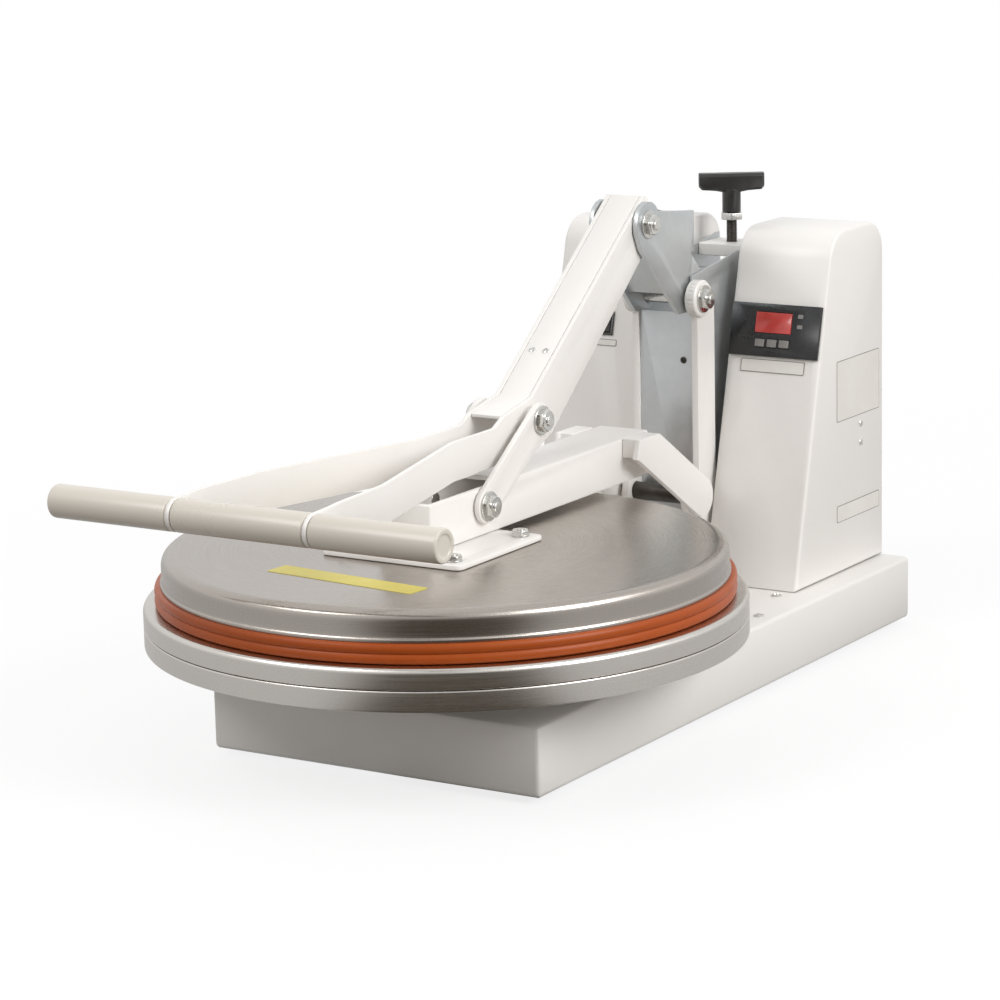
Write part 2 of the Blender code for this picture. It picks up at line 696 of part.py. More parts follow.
def make_flange_nuts(arm):
    """Capped nuts on the studs of the foot plate."""
    low = FLANGE_TOP + CLEARANCE
    high = low + FLANGE_NUT_HEIGHT
    profile = [(FLANGE_STUD_RADIUS, FLANGE_BOTTOM), (FLANGE_STUD_RADIUS, low), (FLANGE_NUT_RADIUS, low),
               (FLANGE_NUT_RADIUS, high), (FLANGE_STUD_RADIUS, high), (FLANGE_STUD_RADIUS, high + CLEARANCE)]
    names = ("front_left_nut", "rear_left_nut", "front_right_nut", "rear_right_nut")
    for name, (x, y) in zip(names, flange_bolt_places()):
        nut = turned(profile, "Z", (x, y, 0), SCREW_STEPS, hexagonal=(2, 3))
        arm.add(name, nut, BRIGHT_STEEL)


def make_arm(arm):
    """A steel box section, open above in front, where the folded lever drops in."""
    half = ARM_WIDTH / 2
    inner = half - ARM_WALL
    section = box((-half, -ARM_FRONT, ARM_BOTTOM), (half, ARM_REAR, ARM_TOP), ARM_EDGE)
    piece = arm.add("platen_arm", section, WHITE_PAINT)
    hollow = box((-inner, ARM_WALL - ARM_FRONT, ARM_BOTTOM - OVERRUN), (inner, ARM_REAR + OVERRUN, ARM_TOP - ARM_WALL))
    arm.shape(piece, hollow)
    mouth = box((-inner, ARM_WALL - ARM_FRONT, ARM_TOP - ARM_WALL - OVERRUN), (inner, ARM_ROOF_FRONT, ARM_TOP + OVERRUN))
    arm.shape(piece, mouth)
    drill = turned([(PIVOT_HOLE_RADIUS, -ARM_WIDTH), (PIVOT_HOLE_RADIUS, ARM_WIDTH)], "X", (0, *LINK_PIVOT))
    arm.shape(piece, drill)


def cheek_outline():
    """The bent bar from the arm's top down to the hinge."""
    shoulder = (CHEEK_BLOCK_REAR, ARM_TOP)
    angle = heading(shoulder, offset(HINGE, 60, CHEEK_END_RADIUS))
    end = arc(HINGE, CHEEK_END_RADIUS, angle + 90, angle - 90, EYE_STEPS)
    low_front = offset(end[-1], angle + 180, math.dist(shoulder, HINGE) + CHEEK_BAR_WIDTH / 2)
    nose = (CHEEK_BLOCK_FRONT, ARM_TOP)
    heel = (CHEEK_BLOCK_FRONT - CHEEK_THICKNESS, ARM_TOP - CHEEK_BLOCK_DEPTH)
    return [nose, shoulder, *end, low_front, heel]


def make_cheek(arm, name, side):
    """One side of the rear fork, with the block that is welded to the arm."""
    plate = side_prism(side, cheek_outline(), CHEEK_INNER, CHEEK_OUTER)
    cheek = arm.add(name, plate, WHITE_PAINT)
    inner = ARM_WIDTH / 2 + CLEARANCE
    low, high = span(side, inner, CHEEK_INNER + OVERRUN / 2)
    block = box((low, CHEEK_BLOCK_FRONT, ARM_TOP - CHEEK_BLOCK_DEPTH), (high, CHEEK_BLOCK_REAR, ARM_TOP))
    arm.shape(cheek, block, "UNION")
    bore = HINGE_SHAFT_RADIUS + CLEARANCE
    drill = turned([(bore, 0), (bore, side * (CHEEK_OUTER - CHEEK_CAP))], "X", (0, *HINGE))
    arm.shape(cheek, drill)


def make_link_bolts(arm):
    """The bolts on which the links turn."""
    for name, side in (("left_link_bolt", -1), ("right_link_bolt", 1)):
        bolt = side_bolt(side, LINK_PIVOT, ARM_WIDTH / 2 - ARM_WALL, LINK_OUTER, PIVOT_SHANK_RADIUS)
        arm.add(name, bolt, BRIGHT_STEEL)


# Links

def make_link(links, name, side):
    """A flat bar between the arm and the lever's elbow."""
    outline = capsule(LINK_PIVOT, ELBOW, LINK_HALF_WIDTH, EYE_STEPS)
    holes = [circle(pivot, PIVOT_HOLE_RADIUS, PIN_STEPS) for pivot in (LINK_PIVOT, ELBOW)]
    links.add(name, side_prism(side, outline, LINK_INNER, LINK_OUTER, holes), WHITE_PAINT)


def make_elbow_bolts(links):
    """The bolts at the links' upper ends."""
    for name, side in (("left_elbow_bolt", -1), ("right_elbow_bolt", 1)):
        bolt = side_bolt(side, ELBOW, LINK_INNER, LINK_OUTER, PIVOT_SHANK_RADIUS)
        links.add(name, bolt, BRIGHT_STEEL)


# Lever

def lever_points():
    """Corner points of a lever plate, as (y, z) by name."""
    y, z = ELBOW
    top = z + ARM_TOP_RISE
    neck = top - ARM_NECK_DROP
    return {
        "elbow_top": (y + ELBOW_TOP_BACK, z + ELBOW_TOP_RISE),
        "nose": (y - ELBOW_NOSE_FRONT, z + ELBOW_NOSE_RISE),
        "arm_top": (ARM_TOP_START_Y, top),
        "neck_top": (-ARM_NECK_FRONT, neck),
        "neck_low": (-ARM_NECK_FRONT, neck - ARM_NECK_DEPTH),
        "arm_low": (ARM_LOW_START_Y, top - ARM_DEPTH),
        "toe": (y + ELBOW_TOE_BACK, z - ELBOW_TOE_DROP),
        "heel": (y + ELBOW_HEEL_BACK, z - ELBOW_HEEL_DROP),
    }


def lever_rise():
    """The slope of the lever's upper stretch, in degrees."""
    return heading(lever_points()["elbow_top"], LEVER_PIVOT)


def lever_end():
    """The lower and the upper corner of the lever's square end behind its pivot."""
    rise = lever_rise()
    end = offset(LEVER_PIVOT, rise, LEVER_END_REACH)
    return offset(end, rise - 90, LEVER_HALF_DEPTH), offset(end, rise + 90, LEVER_HALF_DEPTH)


def lever_outline():
    """The lever plate from its square end down to the elbow and along the arm to the grip."""
    at = lever_points()
    rise = lever_rise()
    low, high = lever_end()
    corner = LEVER_END_CORNER
    end = [offset(low, rise + 180, corner), offset(low, rise + 90, corner),
           offset(high, rise - 90, corner), offset(high, rise + 180, corner)]
    grip = arc(GRIP, GRIP_RADIUS, 90, 270, EYE_STEPS)
    return [*end, at["elbow_top"], at["nose"], at["arm_top"], at["neck_top"], *grip,
            at["neck_low"], at["arm_low"], at["toe"], at["heel"]]


def arm_x(y):
    """The outer face of a lever arm: straight at the elbow, splayed, then nearly straight at the grip."""
    stations = [(-SPREAD_START_FRONT, LEVER_HALF_WIDTH), (-SPREAD_MIDDLE_FRONT, SPREAD_MIDDLE_HALF_WIDTH),
                (-SPREAD_END_FRONT, SPREAD_HALF_WIDTH)]
    if y >= stations[0][0]:
        return LEVER_HALF_WIDTH
    for (back, wide), (front, wider) in zip(stations, stations[1:]):
        if y >= front:
            return wide + (wider - wide) * (back - y) / (back - front)
    return SPREAD_HALF_WIDTH


def spread_arms(bm, side):
    """Bends the front of a lever plate outwards at its three bend lines."""
    for front in (SPREAD_START_FRONT, SPREAD_MIDDLE_FRONT, SPREAD_END_FRONT):
        geometry = bm.verts[:] + bm.edges[:] + bm.faces[:]
        bmesh.ops.bisect_plane(bm, geom=geometry, plane_co=(0, -front, 0), plane_no=(0, 1, 0))
    for vert in bm.verts:
        vert.co.x += side * (arm_x(vert.co.y) - LEVER_HALF_WIDTH)
    return bm


def make_lever_plate(lever, name, side):
    """One side of the lever with its arm and the boss that stands off the link."""
    holes = [circle(LEVER_PIVOT, PIVOT_HOLE_RADIUS, PIN_STEPS), circle(GRIP, GRIP_BORE_RADIUS, PIN_STEPS)]
    plate = side_prism(side, lever_outline(), LEVER_PLATE_INNER, LEVER_HALF_WIDTH, holes)
    piece = lever.add(name, spread_arms(plate, side), WHITE_PAINT)
    low, high = span(side, LEVER_HALF_WIDTH - LEVER_PLATE / 2, LINK_INNER - 2 * CLEARANCE)
    boss = turned([(ELBOW_BOSS_RADIUS, low), (ELBOW_BOSS_RADIUS, high)], "X", (0, *ELBOW))
    lever.shape(piece, boss, "UNION")


def web_outline():
    """The cover strip along the lever's upper edge."""
    at = lever_points()
    rise = lever_rise()
    top = offset(lever_end()[1], rise + 180, LEVER_END_CORNER)
    corner = at["elbow_top"]
    nose = at["nose"]
    dip = heading(nose, corner)
    inner_nose = offset(nose, dip - 90, WEB_THICKNESS)
    inner_corner = offset(corner, (rise + dip) / 2 - 90, WEB_THICKNESS)
    inner_top = offset(top, rise - 90, WEB_THICKNESS)
    return [top, corner, nose, inner_nose, inner_corner, inner_top]


def make_web(lever):
    """The plate across the lever's upper edge."""
    half = LEVER_PLATE_INNER - CLEARANCE
    lever.add("lever_web", prism(web_outline(), -half, half, "X"), WHITE_PAINT)


def make_grip_rod(lever):
    """The through rod of the grip."""
    half = GRIP_HALF_LENGTH - GRIP_CAP - CLEARANCE
    rod = turned([(GRIP_ROD_RADIUS, -half), (GRIP_ROD_RADIUS, half)], "X", (0, *GRIP))
    lever.add("grip_rod", rod, BRIGHT_STEEL)


def make_centre_sleeve(lever):
    """The grip tube between the two arms."""
    half = SPREAD_HALF_WIDTH - LEVER_PLATE - CLEARANCE
    bore = GRIP_BORE_RADIUS
    profile = [(bore, -half), (GRIP_RADIUS, -half), (GRIP_RADIUS, half), (bore, half)]
    lever.add("grip_centre_sleeve", turned(profile, "X", (0, *GRIP), 2 * PIN_STEPS, closed=True), CREAM_PAINT)


def make_end_sleeve(lever, name, side):
    """The grip tube outside an arm, closed at its end."""
    start = side * (SPREAD_HALF_WIDTH + CLEARANCE)
    end = side * GRIP_HALF_LENGTH
    floor = side * (GRIP_HALF_LENGTH - GRIP_CAP)
    edge = side * (GRIP_HALF_LENGTH - GRIP_EDGE)
    bore = GRIP_BORE_RADIUS
    profile = [(bore, floor), (bore, start), (GRIP_RADIUS, start), (GRIP_RADIUS, edge),
               (GRIP_RADIUS - GRIP_EDGE / 3, side * (GRIP_HALF_LENGTH - GRIP_EDGE / 3)), (GRIP_RADIUS - GRIP_EDGE, end)]
    lever.add(name, turned(profile, "X", (0, *GRIP), 2 * PIN_STEPS), CREAM_PAINT)


# Rocker

def beside_pivots(along, across):
    """A point given along the line from the lever pivot to the rocker pivot, and in front of it."""
    dip = heading(LEVER_PIVOT, ROCKER_PIVOT)
    return offset(offset(LEVER_PIVOT, dip, along), dip - 90, across)


def rocker_outline():
    """Side view of the rocker: the lever eye, the hub, the upright back and the tail."""
    dip = heading(LEVER_PIVOT, ROCKER_PIVOT)
    y, z = ROCKER_PIVOT
    rear = y + ROCKER_BACK_REACH
    crown = z + ROCKER_BACK_RISE
    notch = rear - ROCKER_NOTCH_DEPTH
    trunnion = (SCREW_Y, TRUNNION_Z)
    tail_tilt = heading((rear, z + ROCKER_NECK_HIGH), offset(trunnion, 90, TAIL_RADIUS))
    tail = arc(trunnion, TAIL_RADIUS, tail_tilt + 90, tail_tilt - 90, EYE_STEPS)
    eye_rear = math.degrees(math.asin(ROCKER_TOP_RISE / ROCKER_EYE_RADIUS))
    start = beside_pivots(ROCKER_FRONT_START, ROCKER_FRONT_REACH)
    fall = start[1] - (z - ROCKER_HUB_RADIUS)
    toe = offset(start, dip, -fall / math.sin(math.radians(dip)))
    return [
        start,
        *arc(LEVER_PIVOT, ROCKER_EYE_RADIUS, 245 + dip, eye_rear, EYE_STEPS),
        (rear - ROCKER_TOP_CORNER, crown),
        (rear, crown - ROCKER_TOP_CORNER),
        (rear, z + ROCKER_BACK_LOW),
        (notch, z + ROCKER_BACK_LOW),
        (rear, z + ROCKER_NECK_HIGH),
        *tail,
        (rear, z + ROCKER_NECK_LOW),
        *arc(ROCKER_PIVOT, ROCKER_HUB_RADIUS, 0, -90, EYE_STEPS),
        toe,
    ]


def bend_corner(side, wide, rear):
    """Plan view of what is cut away outside a rounded rear corner."""
    bend = ROCKER_BEND_RADIUS
    far = wide + OVERRUN
    curve = arc((wide - bend, rear - bend), bend, 0, 90, EDGE_STEPS + 1)
    points = [*curve, (wide - bend, rear + OVERRUN), (far, rear + OVERRUN), (far, rear - bend)]
    return [(side * x, y) for x, y in points]


def web_between_plates():
    """Side view of the sheet that joins the rocker's plates in front of its pivot."""
    near = ROCKER_FRONT_REACH - ROCKER_WEB_INSET
    far = near - ROCKER_BACK_WALL
    return [beside_pivots(ROCKER_WEB_START, near), beside_pivots(ROCKER_WEB_END, near),
            beside_pivots(ROCKER_WEB_END, far), beside_pivots(ROCKER_WEB_START, far)]


def make_rocker(rocker):
    """Two side plates, bent from one sheet with the upright back plate, and a web in front."""
    wide = ROCKER_PLATE_OUTER
    inner = ROCKER_PLATE_INNER
    pins = [circle(LEVER_PIVOT, PIVOT_HOLE_RADIUS, PIN_STEPS),
            circle(ROCKER_PIVOT, ROCKER_PIN_RADIUS + CLEARANCE, PIN_STEPS),
            circle((SCREW_Y, TRUNNION_Z), TRUNNION_RADIUS - ROCKER_PLATE / 2 + CLEARANCE, PIN_STEPS)]
    frame = rocker.add("rocker_frame", prism(rocker_outline(), -wide, wide, "X", pins), GALVANISED)
    y, z = ROCKER_PIVOT
    back = y + ROCKER_BACK_REACH
    rear = back - ROCKER_BACK_WALL
    front = LEVER_PIVOT_Y - UPRIGHT_DEPTH
    bend = ROCKER_BEND_RADIUS - ROCKER_BACK_WALL
    low = z + ROCKER_BACK_LOW
    high = LEVER_PIVOT_Z + UPRIGHT_DEPTH
    for side in (-1, 1):
        rocker.shape(frame, prism(bend_corner(side, wide, back), low - OVERRUN, high, "Z"))
    floor = [(-inner, front), (inner, front), *arc((inner - bend, rear - bend), bend, 0, 90, EDGE_STEPS),
             *arc((bend - inner, rear - bend), bend, 90, 180, EDGE_STEPS)]
    rocker.shape(frame, prism(floor, low - OVERRUN, high, "Z"))
    rocker.shape(frame, box((-inner, front, z - ROCKER_DROP), (inner, SCREW_Y + UPRIGHT_DEPTH, low)))
    joined = inner + ROCKER_PLATE / 4
    rocker.shape(frame, prism(web_between_plates(), -joined, joined, "X"), "UNION")


def make_lever_pin(rocker):
    """The pin on which the lever turns."""
    rocker.add("lever_pivot_pin", through_pin(LEVER_PIVOT, ROCKER_PLATE_OUTER, PIVOT_SHANK_RADIUS), BRIGHT_STEEL)


def make_trunnion(rocker):
    """The cross nut that the thickness screw turns in."""
    half = ROCKER_PLATE_INNER - CLEARANCE
    journal = TRUNNION_RADIUS - ROCKER_PLATE / 2
    end = ROCKER_PLATE_OUTER
    profile = [(journal, -end), (journal, -half), (TRUNNION_RADIUS, -half), (TRUNNION_RADIUS, half),
               (journal, half), (journal, end)]
    block = rocker.add("screw_trunnion", turned(profile, "X", (0, SCREW_Y, TRUNNION_Z)), BRIGHT_STEEL)
    bore = SCREW_RADIUS + RUNNING_GAP / 2
    drill = turned([(bore, TRUNNION_Z - 2 * TRUNNION_RADIUS), (bore, TRUNNION_Z + 2 * TRUNNION_RADIUS)],
                   "Z", (0, SCREW_Y, 0))
    rocker.shape(block, drill)


# Uprights and column

def upright_outline():
    """A bar from the base up to the rocker pivot, with a lug for the hinge."""
    y, z = ROCKER_PIVOT
    front = UPRIGHT_FRONT_Y
    rear = front + UPRIGHT_DEPTH
    foot = BASE_TOP + CLEARANCE
    reach = math.degrees(math.acos(min((front - HINGE_Y) / UPRIGHT_LUG_RADIUS, 1.0)))
    lug = arc(HINGE, UPRIGHT_LUG_RADIUS, 360 - reach, reach, EYE_STEPS)
    low = math.degrees(math.acos((front - y) / BOSS_RADIUS))
    return [(rear, foot), (rear, z - UPRIGHT_SHOULDER), *arc(ROCKER_PIVOT, BOSS_RADIUS, 30, 360 - low, 2 * EYE_STEPS),
            *reversed(lug), (front, foot)]


def make_upright(frame, name, side):
    """One of the two bars that carry both pivots, with the boss at its top."""
    pin = ROCKER_PIN_RADIUS + CLEARANCE
    holes = [circle(ROCKER_PIVOT, pin, PIN_STEPS), circle(HINGE, HINGE_SHAFT_RADIUS + CLEARANCE, PIN_STEPS)]
    bar = side_prism(side, upright_outline(), UPRIGHT_INNER, UPRIGHT_OUTER, holes)
    upright = frame.add(name, bar, WHITE_PAINT)
    inner = side * (UPRIGHT_OUTER - UPRIGHT_THICKNESS / 2)
    outer = side * BOSS_OUTER
    edge = side * (BOSS_OUTER - BOSS_PROUD / 3)
    rim = BOSS_RADIUS - BOSS_PROUD / 3
    profile = [(pin, inner), (BOSS_RADIUS, inner), (BOSS_RADIUS, edge), (rim, outer), (pin, outer)]
    boss = turned(profile, "X", (0, *ROCKER_PIVOT), 2 * PIN_STEPS, closed=True)
    frame.shape(upright, boss, "UNION")


def make_hinge_shaft(frame):
    """The shaft that the arm's fork swings on."""
    end = CHEEK_OUTER - CHEEK_CAP - CLEARANCE
    shaft = turned([(HINGE_SHAFT_RADIUS, -end), (HINGE_SHAFT_RADIUS, end)], "X", (0, *HINGE))
    frame.add("hinge_shaft", shaft, BRIGHT_STEEL)


def make_rocker_pin(frame):
    """The pin through both uprights that the rocker tilts on."""
    frame.add("rocker_pivot_pin", through_pin(ROCKER_PIVOT, BOSS_OUTER, ROCKER_PIN_RADIUS), BRIGHT_STEEL)


def column_side_outline():
    """Side view of the channel, whose upper edge climbs to the back."""
    front = COLUMN_FRONT_Y
    rear = front + COLUMN_DEPTH
    low = BASE_TOP + CLEARANCE
    high = ROCKER_PIVOT_Z + COLUMN_SIDE_RISE
    return [(front, low), (rear, low), (rear, high + COLUMN_SIDE_SLOPE * COLUMN_DEPTH), (front, high)]


def make_column(frame):
    """The sheet channel between the towers, open at its top front for the rocker."""
    half = COLUMN_WIDTH / 2
    inner = half - COLUMN_WALL
    column = frame.add("column_channel", prism(column_side_outline(), -half, half, "X"), GALVANISED)
    front = COLUMN_FRONT_Y
    rear = front + COLUMN_DEPTH + OVERRUN
    top = ROCKER_PIVOT_Z + COLUMN_SIDE_RISE + COLUMN_SIDE_SLOPE * COLUMN_DEPTH + OVERRUN
    frame.shape(column, box((-inner, front + COLUMN_WALL, BASE_TOP - OVERRUN), (inner, rear, top)))
    mouth = box((-inner, front - OVERRUN, ROCKER_PIVOT_Z - COLUMN_WEB_DROP),
                (inner, front + COLUMN_WALL + OVERRUN, top))
    frame.shape(column, mouth)
    bore = ROCKER_PIN_RADIUS + CLEARANCE
    frame.shape(column, turned([(bore, -COLUMN_WIDTH), (bore, COLUMN_WIDTH)], "X", (0, *ROCKER_PIVOT)))


def make_top_plate(frame):
    """The bar across the column that guides the thickness screw."""
    half = COLUMN_WIDTH / 2 - COLUMN_WALL - CLEARANCE
    y = TOP_PLATE_DEPTH / 2
    outline = rectangle((0, SCREW_Y), 2 * half, 2 * y)
    hole = [circle((0, SCREW_Y), SCREW_RADIUS + CLEARANCE, PIN_STEPS)]
    frame.add("column_top_plate", prism(outline, TOP_PLATE_BOTTOM, TOP_PLATE_TOP, "Z", hole), WHITE_PAINT)


# Thickness screw

def make_screw(screw):
    """The adjusting rod."""
    profile = [(SCREW_RADIUS, TRUNNION_Z - SCREW_FOOT), (SCREW_RADIUS, KNOB_BOTTOM - CLEARANCE)]
    screw.add("thickness_screw", turned(profile, "Z", (0, SCREW_Y, 0)), DARK_STEEL)


def make_collar(screw):
    """The lock nut below the knob."""
    bore = SCREW_RADIUS + CLEARANCE
    low = COLLAR_BOTTOM
    high = low + COLLAR_HEIGHT - CLEARANCE
    profile = [(bore, low), (COLLAR_RADIUS, low), (COLLAR_RADIUS, high), (bore, high)]
    nut = turned(profile, "Z", (0, SCREW_Y, 0), SCREW_STEPS, closed=True, hexagonal=(1, 2))
    screw.add("knob_lock_nut", nut, BRIGHT_STEEL)


def knob_section(x, width, height, top):
    """A chamfered cross-section of the knob's bar, hung from its flat top."""
    a = width / 2
    c = KNOB_BAR_EDGE
    b = top - height
    return [(x, -a, b + c), (x, c - a, b), (x, a - c, b), (x, a, b + c),
            (x, a, top - c), (x, a - c, top), (x, c - a, top), (x, -a, top - c)]


def make_knob(screw):
    """The T-shaped knob: a hub under a cross bar that is thickest in the middle."""
    hub_top = KNOB_BOTTOM + KNOB_HUB_HEIGHT
    top = KNOB_BOTTOM + KNOB_HUB_HEIGHT + KNOB_BAR_HEIGHT
    hub = turned([(KNOB_HUB_RADIUS, KNOB_BOTTOM), (KNOB_HUB_RADIUS, hub_top + KNOB_BAR_EDGE)], "Z", (0, SCREW_Y, 0))
    knob = screw.add("t_knob", hub, BLACK_PLASTIC)
    half = KNOB_BAR_LENGTH / 2
    low = KNOB_BAR_HEIGHT * KNOB_END_HEIGHT_SHARE
    narrow = KNOB_BAR_WIDTH * KNOB_WAIST_WIDTH_SHARE
    edge = KNOB_BAR_EDGE
    stations = [(-half, KNOB_BAR_WIDTH - edge, low - edge), (edge - half, KNOB_BAR_WIDTH, low),
                (-half / 2, narrow, (low + KNOB_BAR_HEIGHT) / 2), (-KNOB_HUB_RADIUS, KNOB_BAR_WIDTH, KNOB_BAR_HEIGHT)]
    stations += [(-x, width, height) for x, width, height in reversed(stations)]
    bar = loft([knob_section(x, width, height, top) for x, width, height in stations])
    turn = Matrix.Translation((0, SCREW_Y, 0)) @ Matrix.Rotation(KNOB_TURN, 4, "Z")
    bmesh.ops.transform(bar, matrix=turn, verts=bar.verts)
    screw.shape(knob, bar, "UNION")


# Towers

def lean_y(z):
    """The y of the towers' leaning front face at height z."""
    return TOWER_FRONT + (z - BASE_TOP) * math.tan(TOWER_LEAN)


def tower_outline(inset, drop):
    """Side view of a tower casing, moved inwards by inset and downwards at its foot by drop."""
    lean = math.degrees(TOWER_LEAN)
    top = BASE_TOP + CLEARANCE + TOWER_HEIGHT
    foot = BASE_TOP + CLEARANCE - drop
    low_z = top - TOWER_FRONT_RADIUS
    front_centre = (lean_y(low_z) + TOWER_FRONT_RADIUS / math.cos(TOWER_LEAN), low_z)
    back_centre = (TOWER_BACK - TOWER_BACK_RADIUS, top - TOWER_BACK_RADIUS)
    shift = inset / math.cos(TOWER_LEAN)
    return [(lean_y(foot) + shift, foot),
            *arc(front_centre, TOWER_FRONT_RADIUS - inset, 180 - lean, 90, EYE_STEPS),
            *arc(back_centre, TOWER_BACK_RADIUS - inset, 90, 0, EYE_STEPS),
            (TOWER_BACK - inset, foot)]


def lean_matrix(x, rise):
    """Places local (x, up the slope, out of the face) on a tower's front at a height above the base."""
    z = BASE_TOP + rise
    slope = Matrix.Rotation(math.pi / 2 - TOWER_LEAN, 4, "X")
    return Matrix.Translation((x, lean_y(z), z)) @ slope


def on_face(bm, x, rise):
    """Moves a bmesh from local face coordinates onto a tower's front."""
    bmesh.ops.transform(bm, matrix=lean_matrix(x, rise), verts=bm.verts)
    return bm


def round_side_edges(bm, low, high):
    """Rounds the two long rims of a casing, which lie at its ends along x."""
    rims = [edge for edge in bm.edges
            if all(abs(vert.co.x - low) < CLEARANCE for vert in edge.verts)
            or all(abs(vert.co.x - high) < CLEARANCE for vert in edge.verts)]
    rims = [edge for edge in rims if edge.calc_face_angle(0) > SMOOTH_ANGLE]
    bmesh.ops.bevel(bm, geom=rims, offset=TOWER_SIDE_EDGE, segments=2, profile=0.5, affect="EDGES")
    return bm


def make_casing(frame, name, low, high, window):
    """A tower casing: a shell open below, with a front window and a rear service window."""
    wall = TOWER_WALL
    outer = round_side_edges(prism(tower_outline(0, 0), low, high, "X"), low, high)
    casing = frame.add(name, outer, WHITE_PAINT)
    frame.shape(casing, prism(tower_outline(wall, OVERRUN), low + wall, high - wall, "X"))
    frame.shape(casing, window)
    margin = BACK_COVER_MARGIN + BACK_WINDOW_INSET
    service = box((low + margin, TOWER_BACK - 2 * OVERRUN, BASE_TOP + margin),
                  (high - margin, TOWER_BACK + OVERRUN,
                   BASE_TOP + TOWER_HEIGHT - BACK_COVER_TOP_MARGIN - BACK_WINDOW_INSET))
    frame.shape(casing, service)


def make_right_tower(frame):
    """The tower that holds the temperature controller."""
    low = TOWER_GAP / 2
    window = box((-CONTROLLER_WIDTH / 2 - CLEARANCE, -CONTROLLER_HEIGHT / 2 - CLEARANCE, -2 * OVERRUN),
                 (CONTROLLER_WIDTH / 2 + CLEARANCE, CONTROLLER_HEIGHT / 2 + CLEARANCE, OVERRUN))
    on_face(window, PANEL_CENTRE_X, PANEL_RISE)
    make_casing(frame, "right_tower_casing", low, low + RIGHT_TOWER_WIDTH, window)


def switch_body_size():
    """Width and height of the switch behind its rim."""
    return (SWITCH_WIDTH - SWITCH_RIM_WALL, SWITCH_HEIGHT - SWITCH_RIM_WALL)


def make_left_tower(frame):
    """The tower that holds the power switch."""
    high = -TOWER_GAP / 2
    width, height = switch_body_size()
    window = box((-width / 2 - CLEARANCE, -height / 2 - CLEARANCE, -2 * OVERRUN),
                 (width / 2 + CLEARANCE, height / 2 + CLEARANCE, OVERRUN))
    on_face(window, SWITCH_CENTRE_X, SWITCH_RISE)
    make_casing(frame, "left_tower_casing", high - LEFT_TOWER_WIDTH, high, window)


def make_back_cover(frame, name, low, high, holes=()):
    """The flat service cover on a tower's back."""
    bottom = BASE_TOP + BACK_COVER_MARGIN
    top = BASE_TOP + TOWER_HEIGHT - BACK_COVER_TOP_MARGIN
    centre = ((low + high) / 2, (bottom + top) / 2)
    outline = rectangle(centre, high - low - 2 * BACK_COVER_MARGIN, top - bottom)
    face = TOWER_BACK + CLEARANCE
    frame.add(name, prism(outline, face, face + TOWER_WALL, "Y", holes), WHITE_PAINT)


def gland_place():
    """The x and z of the cord gland's axis."""
    return (SWITCH_CENTRE_X, BASE_TOP + BACK_COVER_MARGIN + GLAND_RISE)


def make_back_covers(frame):
    """The service covers; the left one holds the cord gland."""
    right = TOWER_GAP / 2
    left = -TOWER_GAP / 2
    make_back_cover(frame, "right_back_cover", right, right + RIGHT_TOWER_WIDTH)
    hole = circle(gland_place(), GLAND_RADIUS + CLEARANCE, PIN_STEPS)
    make_back_cover(frame, "left_back_cover", left - LEFT_TOWER_WIDTH, left, [hole])


def make_gland(frame):
    """The cord gland: a bored body through the cover, with a flange inside."""
    x, z = gland_place()
    outside = BASE_REAR
    inside = TOWER_BACK - TOWER_WALL
    profile = [(GLAND_BORE_RADIUS, inside - GLAND_NUT_HEIGHT), (GLAND_NUT_RADIUS, inside - GLAND_NUT_HEIGHT),
               (GLAND_NUT_RADIUS, inside), (GLAND_RADIUS, inside), (GLAND_RADIUS, outside),
               (GLAND_BORE_RADIUS, outside)]
    gland = turned(profile, "Y", (x, 0, z), PIN_STEPS, closed=True, hexagonal=(1, 2))
    frame.add("cord_gland", gland, BLACK_PLASTIC)


# Controls

def make_panel(frame):
    """The black front plate with openings for the display and the buttons."""
    holes = [rectangle((LENS_OFFSET_X, LENS_OFFSET_UP), LENS_WIDTH + 2 * CLEARANCE, LENS_HEIGHT + 2 * CLEARANCE)]
    for place in button_places():
        holes.append(rectangle(place, BUTTON_WIDTH + 2 * CLEARANCE, BUTTON_HEIGHT + 2 * CLEARANCE))
    plate = prism(rectangle((0, 0), PANEL_WIDTH, PANEL_HEIGHT), CLEARANCE, CLEARANCE + PANEL_THICKNESS, "Z", holes)
    frame.add("control_panel", on_face(plate, PANEL_CENTRE_X, PANEL_RISE), PANEL_FILM)


def make_lens(frame):
    """The red display window."""
    plate = prism(rectangle((LENS_OFFSET_X, LENS_OFFSET_UP), LENS_WIDTH, LENS_HEIGHT),
                  CLEARANCE, CLEARANCE + PANEL_THICKNESS, "Z")
    frame.add("display_lens", on_face(plate, PANEL_CENTRE_X, PANEL_RISE), RED_LENS)


def make_controller(frame):
    """The temperature controller behind the panel."""
    block = box((-CONTROLLER_WIDTH / 2, -CONTROLLER_HEIGHT / 2, -CONTROLLER_DEPTH),
                (CONTROLLER_WIDTH / 2, CONTROLLER_HEIGHT / 2, 0))
    frame.add("temperature_controller", on_face(block, PANEL_CENTRE_X, PANEL_RISE), BLACK_PLASTIC)


def button_places():
    """Face coordinates of the three buttons, left to right."""
    return [(BUTTON_OFFSET_X + step * BUTTON_PITCH, BUTTON_OFFSET_UP) for step in (-1, 0, 1)]


